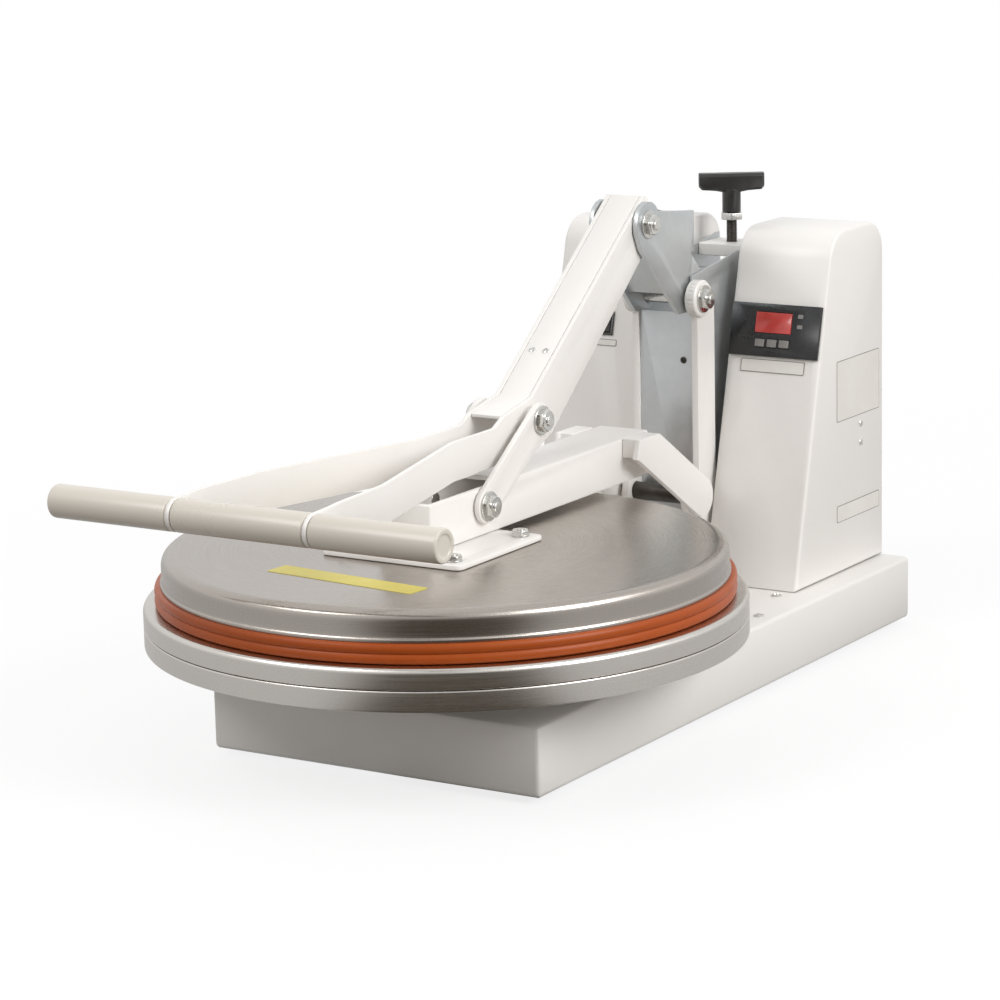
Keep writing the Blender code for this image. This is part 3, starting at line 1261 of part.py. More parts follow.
def make_buttons(frame):
    """Three push buttons, each on its own slide."""
    for name, place in zip(("mode_button", "up_button", "down_button"), button_places()):
        bottom = CLEARANCE + BUTTON_PROUD
        cap = prism(rectangle(place, BUTTON_WIDTH, BUTTON_HEIGHT), bottom, bottom + PANEL_THICKNESS, "Z")
        on_face(cap, PANEL_CENTRE_X, PANEL_RISE)
        centre = lean_matrix(PANEL_CENTRE_X, PANEL_RISE) @ Vector((*place, bottom))
        Body(name + "_slide", centre, frame).add(name, cap, GREY_BUTTON)


def rectangle_rings(sizes):
    """Loops for a stepped block: sizes holds (width, height, level)."""
    return [[(a, b, level) for a, b in rectangle((0, 0), width, height)] for width, height, level in sizes]


def make_switch_body(frame):
    """The power switch's rim and body, with the pocket that holds the rocker."""
    width, height = switch_body_size()
    pocket_width = width - SWITCH_RIM_WALL
    pocket_height = height - SWITCH_RIM_WALL
    face = CLEARANCE + SWITCH_RIM
    rings = rectangle_rings([(pocket_width, pocket_height, face - SWITCH_POCKET),
                             (pocket_width, pocket_height, face), (SWITCH_WIDTH, SWITCH_HEIGHT, face),
                             (SWITCH_WIDTH, SWITCH_HEIGHT, CLEARANCE), (width, height, CLEARANCE),
                             (width, height, -SWITCH_BODY_DEPTH)])
    frame.add("switch_body", on_face(loft(rings), SWITCH_CENTRE_X, SWITCH_RISE), BLACK_PLASTIC)


def make_switch_rocker(frame):
    """The power rocker, which rests tilted to one side."""
    width, height = switch_body_size()
    half = (height - SWITCH_RIM_WALL) / 2 - RUNNING_GAP
    half_width = (width - SWITCH_RIM_WALL) / 2 - CLEARANCE
    proud = CLEARANCE + SWITCH_RIM + RUNNING_GAP
    outline = [(-half, 0), (-half, proud), (0, proud - RUNNING_GAP), (half, proud), (half, 0)]
    outline += arc((0, 0), half / 2, 0, -180, EYE_STEPS)[1:-1]
    rocker = prism(outline, -half_width, half_width, "X")
    bmesh.ops.transform(rocker, matrix=Matrix.Rotation(SWITCH_TILT, 4, "X"), verts=rocker.verts)
    on_face(rocker, SWITCH_CENTRE_X, SWITCH_RISE)
    centre = lean_matrix(SWITCH_CENTRE_X, SWITCH_RISE) @ Vector((0, 0, 0))
    Body("power_rocker_axis", centre, frame).add("power_rocker", rocker, BLACK_PLASTIC)


# Whole press

def make_frame(frame):
    """Everything that stands still."""
    make_base_housing(frame)
    make_bottom_cover(frame)
    make_feet(frame)
    make_pedestal(frame)
    make_lower_pan(frame)
    make_lower_platen(frame)
    make_upright(frame, "left_upright", -1)
    make_upright(frame, "right_upright", 1)
    make_hinge_shaft(frame)
    make_rocker_pin(frame)
    make_column(frame)
    make_top_plate(frame)
    make_right_tower(frame)
    make_left_tower(frame)
    make_back_covers(frame)
    make_gland(frame)


def make_controls(frame):
    """The panel, its buttons and the power switch."""
    make_panel(frame)
    make_lens(frame)
    make_controller(frame)
    make_buttons(frame)
    make_switch_body(frame)
    make_switch_rocker(frame)


def make_platen_arm(arm):
    """The heated platen and the arm that it hangs from."""
    make_upper_platen(arm)
    make_silicone_ring(arm)
    make_cover(arm)
    make_heating_element(arm)
    make_insulation(arm)
    make_flange(arm)
    make_flange_nuts(arm)
    make_arm(arm)
    make_cheek(arm, "left_hinge_cheek", -1)
    make_cheek(arm, "right_hinge_cheek", 1)
    make_link_bolts(arm)


def make_links(links):
    """The two toggle links and their upper bolts."""
    make_link(links, "left_toggle_link", -1)
    make_link(links, "right_toggle_link", 1)
    make_elbow_bolts(links)


def make_lever(lever):
    """The lever, its arms and its grip."""
    make_lever_plate(lever, "left_lever_plate", -1)
    make_lever_plate(lever, "right_lever_plate", 1)
    make_web(lever)
    make_grip_rod(lever)
    make_centre_sleeve(lever)
    make_end_sleeve(lever, "left_grip_sleeve", -1)
    make_end_sleeve(lever, "right_grip_sleeve", 1)


def make_rocker_group(rocker):
    """The rocker with the lever's bolt and the screw's cross nut."""
    make_rocker(rocker)
    make_lever_pin(rocker)
    make_trunnion(rocker)


def make_screw_group(screw):
    """The thickness screw and its knob."""
    make_screw(screw)
    make_collar(screw)
    make_knob(screw)


def main():
    """Builds the press."""
    clear_scene()
    frame = Body("machine", (0, 0, 0))
    make_frame(frame)
    make_controls(frame)
    arm = Body("platen_arm_axis", (0, *HINGE), frame)
    make_platen_arm(arm)
    make_links(Body("link_axis", (0, *LINK_PIVOT), arm))
    rocker = Body("rocker_axis", (0, *ROCKER_PIVOT), frame)
    make_rocker_group(rocker)
    make_lever(Body("lever_axis", (0, *LEVER_PIVOT), rocker))
    make_screw_group(Body("screw_axis", (0, SCREW_Y, TOP_PLATE_TOP), frame))


main()
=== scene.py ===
"""Looks of the pizza dough press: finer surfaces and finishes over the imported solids."""
import json
import logging
import math
from dataclasses import dataclass, field
from enum import Enum

import bmesh
import bpy
import numpy as np
from mathutils import Matrix, Vector

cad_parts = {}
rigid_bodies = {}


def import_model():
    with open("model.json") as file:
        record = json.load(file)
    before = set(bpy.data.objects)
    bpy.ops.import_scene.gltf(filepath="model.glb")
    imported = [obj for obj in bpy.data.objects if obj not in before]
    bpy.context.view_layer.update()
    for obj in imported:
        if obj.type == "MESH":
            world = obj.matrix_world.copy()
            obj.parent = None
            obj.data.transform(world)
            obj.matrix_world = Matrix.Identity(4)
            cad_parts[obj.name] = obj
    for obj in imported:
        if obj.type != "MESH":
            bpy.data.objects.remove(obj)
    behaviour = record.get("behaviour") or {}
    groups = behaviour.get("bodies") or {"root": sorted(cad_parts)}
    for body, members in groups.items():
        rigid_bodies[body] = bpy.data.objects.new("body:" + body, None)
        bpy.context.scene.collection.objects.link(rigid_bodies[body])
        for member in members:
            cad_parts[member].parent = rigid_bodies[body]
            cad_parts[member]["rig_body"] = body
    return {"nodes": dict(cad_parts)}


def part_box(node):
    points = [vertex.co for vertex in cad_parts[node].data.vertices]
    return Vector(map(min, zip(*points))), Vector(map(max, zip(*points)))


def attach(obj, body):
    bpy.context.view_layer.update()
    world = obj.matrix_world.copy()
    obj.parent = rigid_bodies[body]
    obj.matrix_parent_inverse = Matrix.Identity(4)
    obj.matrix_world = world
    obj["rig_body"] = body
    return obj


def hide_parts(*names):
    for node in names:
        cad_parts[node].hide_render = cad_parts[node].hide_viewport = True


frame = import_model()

LOG = logging.getLogger("dough_press")
FULL_TURN = 2 * math.pi
MACHINE_Y = -0.12525
PLATEN_AXIS = (0.0, MACHINE_Y, 0.0)
Colour = tuple[float, float, float]
Grid = np.ndarray


class Axis(Enum):
    """The world axis that a turned piece is drawn along."""

    X = 0
    Y = 1
    Z = 2


class Coat(Enum):
    """The record's material slots that the pieces take their finishes from."""

    WHITE = "white_paint"
    CREAM = "cream_paint"
    GALVANISED = "galvanised_steel"
    BRIGHT = "bright_steel"
    BRUSHED = "brushed_steel"
    ALUMINIUM = "aluminium"
    SILICONE = "orange_silicone"
    BLACK = "black_plastic"
    FILM = "panel_film"
    LENS = "red_lens"
    BUTTON = "grey_button"
    RUBBER = "rubber"
    FIBRE = "insulation_fibre"
    DARK = "dark_steel"
    LABEL = "blank_label"
    YELLOW = "yellow_label"


class Tree:
    """Adds nodes to one shader tree, each one set and linked in a single call."""

    def __init__(self, tree: bpy.types.NodeTree) -> None:
        """Keeps the tree that the nodes go into."""
        self.tree = tree

    def add(self, kind: str, inputs: dict | None = None, **settings: object) -> bpy.types.Node:
        """Adds one node.

        Args:
            kind: The node's type without the ShaderNode prefix.
            inputs: Socket name or index to a value, or to another node's output socket.
            settings: Properties of the node.

        Returns:
            The node.
        """
        node = self.tree.nodes.new("ShaderNode" + kind)
        for name, value in settings.items():
            setattr(node, name, value)
        for key, value in (inputs or {}).items():
            if isinstance(value, bpy.types.NodeSocket):
                self.tree.links.new(value, node.inputs[key])
            else:
                node.inputs[key].default_value = value
        return node

    def math(self, operation: str, *values: object, clamp: bool = False) -> bpy.types.NodeSocket:
        """One Math node on two or three numbers or sockets.

        Returns:
            Its output socket.
        """
        return self.add("Math", dict(enumerate(values)), operation=operation, use_clamp=clamp).outputs[0]

    def span(self, value: object, low: float, high: float, start: float, end: float) -> bpy.types.NodeSocket:
        """Maps a value from low..high to start..end, held inside it.

        Returns:
            The mapped value's socket.
        """
        return self.add("MapRange", {0: value, 1: low, 2: high, 3: start, 4: end}).outputs[0]

    def blend(self, factor: object, first: object, second: object, mode: str = "MIX") -> bpy.types.NodeSocket:
        """Mixes two colours by a factor.

        Returns:
            The mixed colour's socket.
        """
        node = self.add("Mix", {0: factor}, data_type="RGBA", blend_type=mode)
        for index, value in ((6, first), (7, second)):
            if isinstance(value, bpy.types.NodeSocket):
                self.tree.links.new(value, node.inputs[index])
            else:
                node.inputs[index].default_value = (*value, 1.0)
        return node.outputs[2]

    def group(self, name: str, **inputs: object) -> bpy.types.Node:
        """Places one of the shared effects with its own values.

        Returns:
            The group's node.
        """
        node = self.add("Group", node_tree=bpy.data.node_groups[name])
        for key, value in inputs.items():
            if isinstance(value, bpy.types.NodeSocket):
                self.tree.links.new(value, node.inputs[key])
            else:
                node.inputs[key].default_value = value
        return node


class Effects:
    """The effects that several finishes share, each one a node group."""

    @staticmethod
    def start(name: str, inputs: dict[str, float], outputs: tuple[str, ...]) -> tuple[Tree, object, object]:
        """Makes an empty group with float sockets.

        Returns:
            The group's tree, its input node and its output node.
        """
        tree = bpy.data.node_groups.new(name, "ShaderNodeTree")
        for key, value in inputs.items():
            socket = tree.interface.new_socket(key, in_out="INPUT", socket_type="NodeSocketFloat")
            socket.default_value = value
        for key in outputs:
            tree.interface.new_socket(key, in_out="OUTPUT", socket_type="NodeSocketFloat")
        return Tree(tree), tree.nodes.new("NodeGroupInput"), tree.nodes.new("NodeGroupOutput")

    def build(self) -> None:
        """Makes every shared effect."""
        self.rubbed_edges()
        self.handling()
        self.peel()
        self.strokes()
        self.turning()
        self.spangle()

    def rubbed_edges(self) -> None:
        """Mask of the edges: how far a normal averaged over Radius turns away from the face's own."""
        t, given, out = self.start("rubbed_edges", {"Radius": 0.0008, "Breakup": 60.0}, ("Mask",))
        soft = t.add("Bevel", {"Radius": given.outputs["Radius"]}, samples=4)
        own = t.add("NewGeometry")
        dot = t.add("VectorMath", {0: soft.outputs[0], 1: own.outputs["Normal"]}, operation="DOT_PRODUCT")
        bend = t.span(dot.outputs["Value"], 0.985, 0.80, 0.0, 1.0)
        place = t.add("TexCoord").outputs["Object"]
        patch = t.add("TexNoise", {"Vector": place, "Scale": given.outputs["Breakup"], "Detail": 4.0})
        worn = t.math("MULTIPLY", bend, t.span(patch.outputs["Fac"], 0.42, 0.66, 0.0, 1.0))
        t.tree.links.new(worn, out.inputs["Mask"])

    def handling(self) -> None:
        """Broad uneven patches, as of wiping and of flour dust, between 0 and 1."""
        t, given, out = self.start("handling", {"Scale": 9.0, "Fine": 70.0}, ("Patches", "Specks"))
        place = t.add("TexCoord").outputs["Object"]
        broad = t.add("TexNoise", {"Vector": place, "Scale": given.outputs["Scale"], "Detail": 5.0,
                                   "Roughness": 0.6, "Distortion": 0.4})
        fine = t.add("TexNoise", {"Vector": place, "Scale": given.outputs["Fine"], "Detail": 3.0})
        t.tree.links.new(t.span(broad.outputs["Fac"], 0.3, 0.7, 0.0, 1.0), out.inputs["Patches"])
        t.tree.links.new(t.span(fine.outputs["Fac"], 0.55, 0.8, 0.0, 1.0), out.inputs["Specks"])

    def peel(self) -> None:
        """Height of a sprayed or moulded skin: soft cells with a finer grain over them."""
        t, given, out = self.start("peel", {"Scale": 700.0, "Grain": 0.3}, ("Height",))
        place = t.add("TexCoord").outputs["Object"]
        cells = t.add("TexNoise", {"Vector": place, "Scale": given.outputs["Scale"], "Detail": 1.0})
        grain = t.add("TexNoise", {"Vector": place, "Detail": 2.0,
                                   "Scale": t.math("MULTIPLY", given.outputs["Scale"], 4.0)})
        height = t.math("ADD", cells.outputs["Fac"],
                        t.math("MULTIPLY", grain.outputs["Fac"], given.outputs["Grain"]))
        t.tree.links.new(height, out.inputs["Height"])

    def strokes(self) -> None:
        """Straight brushing: noise drawn out along one axis by its three scales."""
        t, given, out = self.start("strokes", {"Along X": 30.0, "Along Y": 2500.0, "Along Z": 2500.0},
                                   ("Value",))
        place = t.add("TexCoord").outputs["Object"]
        size = t.add("CombineXYZ", {i: given.outputs[i] for i in range(3)})
        drawn = t.add("VectorMath", {0: place, 1: size.outputs[0]}, operation="MULTIPLY")
        lines = t.add("TexNoise", {"Vector": drawn.outputs[0], "Scale": 1.0, "Detail": 4.0, "Roughness": 0.7})
        t.tree.links.new(lines.outputs["Fac"], out.inputs["Value"])

    def turning(self) -> None:
        """Lathe marks about the platens' axis: noise on the radius and height, a little on the angle."""
        t, given, out = self.start("turning", {"Pitch": 1100.0, "Arc": 3.0, "Rise": 900.0}, ("Value", "Sweep"))
        place = t.add("Mapping", {"Vector": t.add("TexCoord").outputs["Object"],
                                  "Location": (0.0, -MACHINE_Y, 0.0)})
        part = t.add("SeparateXYZ", {0: place.outputs[0]})
        flat = t.add("CombineXYZ", {0: part.outputs[0], 1: part.outputs[1]})
        unit = t.add("VectorMath", {0: flat.outputs[0]}, operation="NORMALIZE")
        spread = t.add("VectorMath", {0: flat.outputs[0]}, operation="LENGTH")
        around = t.add("VectorMath", {0: unit.outputs[0], "Scale": given.outputs["Arc"]}, operation="SCALE")
        level = t.math("ADD", t.math("MULTIPLY", spread.outputs["Value"], given.outputs["Pitch"]),
                       t.math("MULTIPLY", part.outputs[2], given.outputs["Rise"]))
        point = t.add("VectorMath", {0: around.outputs[0],
                                     1: t.add("CombineXYZ", {2: level}).outputs[0]}, operation="ADD")
        lines = t.add("TexNoise", {"Vector": point.outputs[0], "Scale": 1.0, "Detail": 4.0, "Roughness": 0.75})
        wide = t.add("TexNoise", {"Vector": around.outputs[0], "Scale": 1.0, "Detail": 2.0})
        t.tree.links.new(lines.outputs["Fac"], out.inputs["Value"])
        t.tree.links.new(wide.outputs["Fac"], out.inputs["Sweep"])

    def spangle(self) -> None:
        """Zinc crystals: one grey for each cell of a pulled Voronoi pattern."""
        t, given, out = self.start("spangle", {"Scale": 160.0}, ("Value",))
        place = t.add("TexCoord").outputs["Object"]
        bend = t.add("TexNoise", {"Vector": place, "Scale": 90.0, "Detail": 2.0})
        pulled = t.add("VectorMath", {0: bend.outputs["Color"], "Scale": 0.010}, operation="SCALE")
        point = t.add("VectorMath", {0: place, 1: pulled.outputs[0]}, operation="ADD")
        cells = t.add("TexVoronoi", {"Vector": point.outputs[0], "Scale": given.outputs["Scale"]})
        grey = t.add("SeparateColor", {0: cells.outputs["Color"]})
        t.tree.links.new(grey.outputs[0], out.inputs["Value"])


@dataclass(frozen=True)
class Finish:
    """One finish, which builds its own material."""

    name: str
    colour: Colour
    roughness: float

    def material(self) -> bpy.types.Material:
        """Builds the material.

        Returns:
            The material.
        """
        made = bpy.data.materials.new(self.name)
        made.use_nodes = True
        made.node_tree.nodes.clear()
        tree = Tree(made.node_tree)
        shader = self.shade(tree)
        tree.add("OutputMaterial", {"Surface": shader.outputs[0]})
        made.diffuse_color = (*self.colour, 1.0)
        return made

    def shade(self, tree: Tree) -> bpy.types.Node:
        """Each finish answers with its own Principled node."""
        raise NotImplementedError

    def bump(self, tree: Tree, height: object, distance: float, strength: float = 1.0) -> object:
        """A Bump node on a height.

        Returns:
            The normal's socket.
        """
        return tree.add("Bump", {"Height": height, "Distance": distance, "Strength": strength}).outputs[0]


@dataclass(frozen=True)
class PowderCoat(Finish):
    """Stoved powder paint: orange peel, wiped patches, faint grime, edges rubbed a little darker."""

    grime: Colour = (0.52, 0.47, 0.40)
    peel: float = 0.00006
    wear: float = 0.35

    def shade(self, tree: Tree) -> bpy.types.Node:
        """Builds the paint's Principled node.

        Returns:
            The node.
        """
        wiped = tree.group("handling", Scale=7.0, Fine=90.0)
        edges = tree.group("rubbed_edges", Radius=0.0009, Breakup=55.0)
        soil = tree.math("MULTIPLY", wiped.outputs["Patches"], 0.05)
        base = tree.blend(soil, self.colour, self.grime)
        base = tree.blend(tree.math("MULTIPLY", wiped.outputs["Specks"], 0.04), base, self.grime)
        base = tree.blend(tree.math("MULTIPLY", edges.outputs["Mask"], self.wear), base, self.grime)
        rough = tree.span(wiped.outputs["Patches"], 0.0, 1.0, self.roughness - 0.05, self.roughness + 0.07)
        skin = tree.group("peel", Scale=650.0, Grain=0.25)
        return tree.add("BsdfPrincipled", {"Base Color": base, "Roughness": rough, "Coat Weight": 0.12,
                                           "Coat Roughness": 0.18,
                                           "Normal": self.bump(tree, skin.outputs[0], self.peel)})


@dataclass(frozen=True)
class TurnedMetal(Finish):
    """Metal turned or brushed round the platens' axis."""

    pale: Colour = (0.80, 0.78, 0.75)
    pitch: float = 1100.0
    depth: float = 0.00003
    contrast: float = 0.3
    grip: float = 0.6

    def shade(self, tree: Tree) -> bpy.types.Node:
        """Builds the turned metal's Principled node.

        Returns:
            The node.
        """
        lathe = tree.group("turning", Pitch=self.pitch, Rise=self.pitch * 0.8)
        wiped = tree.group("handling", Scale=6.0, Fine=50.0)
        lines = tree.span(lathe.outputs["Value"], 0.35, 0.65, 0.0, 1.0)
        tone = tree.math("ADD", tree.math("MULTIPLY", lines, self.contrast),
                         tree.math("MULTIPLY", wiped.outputs["Patches"], 0.15), clamp=True)
        base = tree.blend(tone, self.colour, self.pale)
        smudge = tree.math("MULTIPLY", wiped.outputs["Specks"], 0.03)
        rough = tree.math("ADD", tree.span(lines, 0.0, 1.0, self.roughness - 0.05, self.roughness + 0.06), smudge)
        normal = self.bump(tree, lathe.outputs["Value"], self.depth)
        around = tree.add("Tangent", direction_type="RADIAL", axis="Z").outputs[0]
        return tree.add("BsdfPrincipled", {"Base Color": base, "Metallic": 1.0, "Roughness": rough,
                                           "Anisotropic": self.grip, "Tangent": around, "Normal": normal})


@dataclass(frozen=True)
class PlatedSteel(Finish):
    """Bright or dark plated steel with fine drawn lines and dulled edges."""

    pale: Colour = (0.85, 0.84, 0.81)
    along: tuple[float, float, float] = (900.0, 900.0, 900.0)

    def shade(self, tree: Tree) -> bpy.types.Node:
        """Builds the plated steel's Principled node.

        Returns:
            The node.
        """
        keys = dict(zip(("Along X", "Along Y", "Along Z"), self.along))
        lines = tree.group("strokes", **keys)
        wiped = tree.group("handling", Scale=40.0, Fine=200.0)
        edges = tree.group("rubbed_edges", Radius=0.0004, Breakup=140.0)
        tone = tree.math("ADD", tree.math("MULTIPLY", wiped.outputs["Patches"], 0.5),
                         tree.math("MULTIPLY", edges.outputs["Mask"], 0.25), clamp=True)
        base = tree.blend(tone, self.colour, self.pale)
        rough = tree.span(lines.outputs[0], 0.3, 0.7, self.roughness - 0.02, self.roughness + 0.03)
        return tree.add("BsdfPrincipled", {"Base Color": base, "Metallic": 1.0, "Roughness": rough,
                                           "Normal": self.bump(tree, lines.outputs[0], 0.0000004)})


@dataclass(frozen=True)
class Galvanised(Finish):
    """Zinc dipped sheet: crystals that differ a little in grey and in gloss."""

    pale: Colour = (0.64, 0.65, 0.645)
    scale: float = 190.0

    def shade(self, tree: Tree) -> bpy.types.Node:
        """Builds the zinc's Principled node.

        Returns:
            The node.
        """
        cells = tree.group("spangle", Scale=self.scale)
        wiped = tree.group("handling", Scale=14.0, Fine=120.0)
        tone = tree.math("ADD", tree.math("MULTIPLY", cells.outputs[0], 0.20),
                         tree.math("MULTIPLY", wiped.outputs["Patches"], 0.40), clamp=True)
        base = tree.blend(tone, self.colour, self.pale)
        rough = tree.math("ADD", tree.math("MULTIPLY", cells.outputs[0], 0.05), self.roughness)
        skin = tree.group("peel", Scale=420.0, Grain=0.5)
        return tree.add("BsdfPrincipled", {"Base Color": base, "Metallic": 0.85, "Roughness": rough,
                                           "Normal": self.bump(tree, skin.outputs[0], 0.00005)})


@dataclass(frozen=True)
class Moulded(Finish):
    """Moulded plastic, rubber or silicone: a fine skin, dust in patches, edges rubbed paler."""

    pale: Colour = (0.12, 0.12, 0.12)
    dust: float = 0.10
    grain: float = 900.0
    depth: float = 0.00005
    gloss: float = 0.5

    def shade(self, tree: Tree) -> bpy.types.Node:
        """Builds the moulding's Principled node.

        Returns:
            The node.
        """
        wiped = tree.group("handling", Scale=22.0, Fine=160.0)
        edges = tree.group("rubbed_edges", Radius=0.0007, Breakup=90.0)
        amount = tree.math("ADD", tree.math("MULTIPLY", wiped.outputs["Patches"], self.dust),
                           tree.math("MULTIPLY", edges.outputs["Mask"], 0.5), clamp=True)
        base = tree.blend(amount, self.colour, self.pale)
        rough = tree.span(wiped.outputs["Patches"], 0.0, 1.0, self.roughness - 0.05, self.roughness + 0.09)
        skin = tree.group("peel", Scale=self.grain, Grain=0.5)
        return tree.add("BsdfPrincipled", {"Base Color": base, "Roughness": rough,
                                           "Specular IOR Level": self.gloss,
                                           "Normal": self.bump(tree, skin.outputs[0], self.depth)})


@dataclass(frozen=True)
class PaintedGlowLens(Finish):
    """The display's red window: a smooth lens with nothing written in it, given a little painted glow."""

    glow: float = 0.10

    def shade(self, tree: Tree) -> bpy.types.Node:
        """Builds the lens's Principled node.

        Returns:
            The node.
        """
        wiped = tree.group("handling", Scale=60.0, Fine=400.0)
        base = tree.blend(wiped.outputs["Patches"], self.colour, tuple(c * 0.75 for c in self.colour))
        rough = tree.span(wiped.outputs["Patches"], 0.0, 1.0, self.roughness, self.roughness + 0.1)
        skin = tree.group("peel", Scale=500.0, Grain=0.2)
        # The emission is painted glow in the lens's own colour, not a lit display.
        return tree.add("BsdfPrincipled", {"Base Color": base, "Roughness": rough, "Emission Color": base,
                                           "Emission Strength": self.glow, "Coat Weight": 0.6,
                                           "Normal": self.bump(tree, skin.outputs[0], 0.00001)})


FINISHES: dict[Coat, Finish] = {
    Coat.WHITE: PowderCoat("warm_white_powder_coat", (0.84, 0.815, 0.785), 0.36),
    Coat.CREAM: PowderCoat("cream_powder_coat", (0.64, 0.595, 0.525), 0.28),
    Coat.GALVANISED: Galvanised("galvanised_sheet", (0.52, 0.545, 0.555), 0.34),
    Coat.BRIGHT: PlatedSteel("bright_zinc_plate", (0.56, 0.555, 0.53), 0.26),
    Coat.BRUSHED: TurnedMetal("brushed_stainless", (0.41, 0.375, 0.34), 0.25, pale=(0.47, 0.435, 0.40),
                              pitch=2400.0, depth=0.000002, contrast=0.2, grip=0.6),
    Coat.ALUMINIUM: TurnedMetal("machined_aluminium", (0.57, 0.54, 0.505), 0.28, pale=(0.67, 0.645, 0.61),
                                pitch=2000.0, depth=0.000003, grip=0.5),
    Coat.SILICONE: Moulded("orange_silicone_rubber", (0.37, 0.066, 0.007), 0.36, pale=(0.55, 0.19, 0.05),
                           dust=0.07, grain=600.0, gloss=0.25),
    Coat.BLACK: Moulded("black_moulding", (0.020, 0.019, 0.017), 0.32, dust=0.14),
    Coat.FILM: Moulded("panel_overlay", (0.012, 0.012, 0.013), 0.26, dust=0.05, grain=1400.0, depth=0.00002),
    Coat.LENS: PaintedGlowLens("red_display_window", (0.47, 0.036, 0.028), 0.16),
    Coat.BUTTON: Moulded("grey_key", (0.20, 0.19, 0.18), 0.44, pale=(0.40, 0.38, 0.36)),
    Coat.RUBBER: Moulded("foot_rubber", (0.020, 0.020, 0.020), 0.72, dust=0.25),
    Coat.FIBRE: Moulded("insulation_felt", (0.62, 0.58, 0.50), 0.92, pale=(0.80, 0.77, 0.70), dust=0.6,
                        grain=350.0, depth=0.0004),
    Coat.DARK: PlatedSteel("blackened_steel", (0.040, 0.036, 0.032), 0.38, pale=(0.16, 0.15, 0.13)),
    Coat.LABEL: Moulded("blank_white_label", (0.78, 0.76, 0.72), 0.50, pale=(0.62, 0.59, 0.54), dust=0.3),
    Coat.YELLOW: Moulded("blank_yellow_label", (0.60, 0.51, 0.075), 0.42, pale=(0.48, 0.40, 0.12), dust=0.35),
}


class Workshop:
    """Makes pieces, dresses them and sets them on their bodies."""

    def __init__(self) -> None:
        """Builds the shared effects and every finish."""
        Effects().build()
        self.materials = {coat: finish.material() for coat, finish in FINISHES.items()}

    def dress(self, piece: bpy.types.Object, coat: Coat) -> None:
        """Gives a piece one finish."""
        piece.data.materials.clear()
        piece.data.materials.append(self.materials[coat])

    def place(self, mesh: bpy.types.Mesh, name: str, body: str, coat: Coat,
              replaced: tuple[str, ...] = ()) -> bpy.types.Object:
        """Makes an object of a mesh, dresses it and sets it on its body.

        Args:
            mesh: The mesh, in the row frame.
            name: The piece's name.
            body: The CAD body that it moves with.
            coat: Its finish.
            replaced: The CAD nodes that it stands for.

        Returns:
            The piece.
        """
        piece = bpy.data.objects.new(name, mesh)
        bpy.context.scene.collection.objects.link(piece)
        self.dress(piece, coat)
        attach(piece, body)
        if replaced:
            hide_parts(*replaced)
        LOG.info("%s on %s: %d faces", name, body, len(mesh.polygons))
        return piece

    def skin(self, points: Grid, faces: Grid, name: str, smooth: float = 38.0) -> bpy.types.Mesh:
        """Makes a mesh of points and faces, with its edges sharp past an angle in degrees.

        Returns:
            The mesh.
        """
        mesh = bpy.data.meshes.new(name)
        mesh.from_pydata(points.tolist(), [], [tuple(f) for f in faces.tolist()] if len(faces) else [])
        mesh.validate()
        bm = bmesh.new()
        bm.from_mesh(mesh)
        bmesh.ops.remove_doubles(bm, verts=bm.verts, dist=1e-7)
        bmesh.ops.recalc_face_normals(bm, faces=bm.faces)
        bm.to_mesh(mesh)
        bm.free()
        mesh.shade_smooth()
        mesh.set_sharp_from_angle(angle=math.radians(smooth))
        return mesh

    def refine(self, node: str, body: str, coat: Coat, name: str, width: float = 0.0008,
               segments: int = 3, flat: float = 2.0, turn: float = 32.0) -> bpy.types.Object:
        """Replaces a CAD node by its own shape with merged faces and rounded edges.

        Args:
            node: The CAD node.
            body: Its body.
            coat: Its finish.
            name: The new piece's name.
            width: The rounding of its edges.
            segments: The steps of that rounding.
            flat: Faces that meet at less than this many degrees are joined.
            turn: Edges that turn more than this many degrees are rounded.

        Returns:
            The piece.
        """
        mesh = frame["nodes"][node].data.copy()
        mesh.name = name
        bm = bmesh.new()
        bm.from_mesh(mesh)
        bmesh.ops.remove_doubles(bm, verts=bm.verts, dist=2e-6)
        bmesh.ops.dissolve_limit(bm, angle_limit=math.radians(flat), verts=bm.verts, edges=bm.edges)
        bm.to_mesh(mesh)
        bm.free()
        mesh.shade_smooth()
        piece = self.place(mesh, name, body, coat, (node,))
        rounding = piece.modifiers.new("rounded_edges", "BEVEL")
        rounding.width = width
        rounding.segments = segments
        rounding.limit_method = "ANGLE"
        rounding.angle_limit = math.radians(turn)
        rounding.use_clamp_overlap = True
        rounding.harden_normals = True
        return piece


def rounded(profile: list[tuple[float, float]], radius: float, steps: int = 5,
            closed: bool = False) -> Grid:
    """Rounds a profile's corners: each one gives way to a quadratic curve from radius before it to
    radius after it, P(t) = (1-t)^2 A + 2t(1-t) C + t^2 B.

    Args:
        profile: The corner points.
        radius: How far from the corner the curve starts, held to 0.45 of each side.
        steps: Points on each curve.
        closed: Whether the last point joins the first.

    Returns:
        The rounded profile's points, one per row.
    """
    corner = np.array(profile, float)
    before = np.roll(corner, 1, axis=0) - corner
    after = np.roll(corner, -1, axis=0) - corner
    sides = [np.linalg.norm(side, axis=1, keepdims=True) + 1e-12 for side in (before, after)]
    start = corner + before / sides[0] * np.minimum(radius, 0.45 * sides[0])
    end = corner + after / sides[1] * np.minimum(radius, 0.45 * sides[1])
    if not closed:
        start[[0, -1]] = corner[[0, -1]]
        end[[0, -1]] = corner[[0, -1]]
    t = np.linspace(0, 1, steps)[None, :, None]
    curve = (1 - t) ** 2 * start[:, None] + 2 * t * (1 - t) * corner[:, None] + t ** 2 * end[:, None]
    points = curve.reshape(-1, 2)
    keep = np.linalg.norm(np.diff(points, axis=0, prepend=points[:1] - 1), axis=1) > 1e-9
    return points[keep]


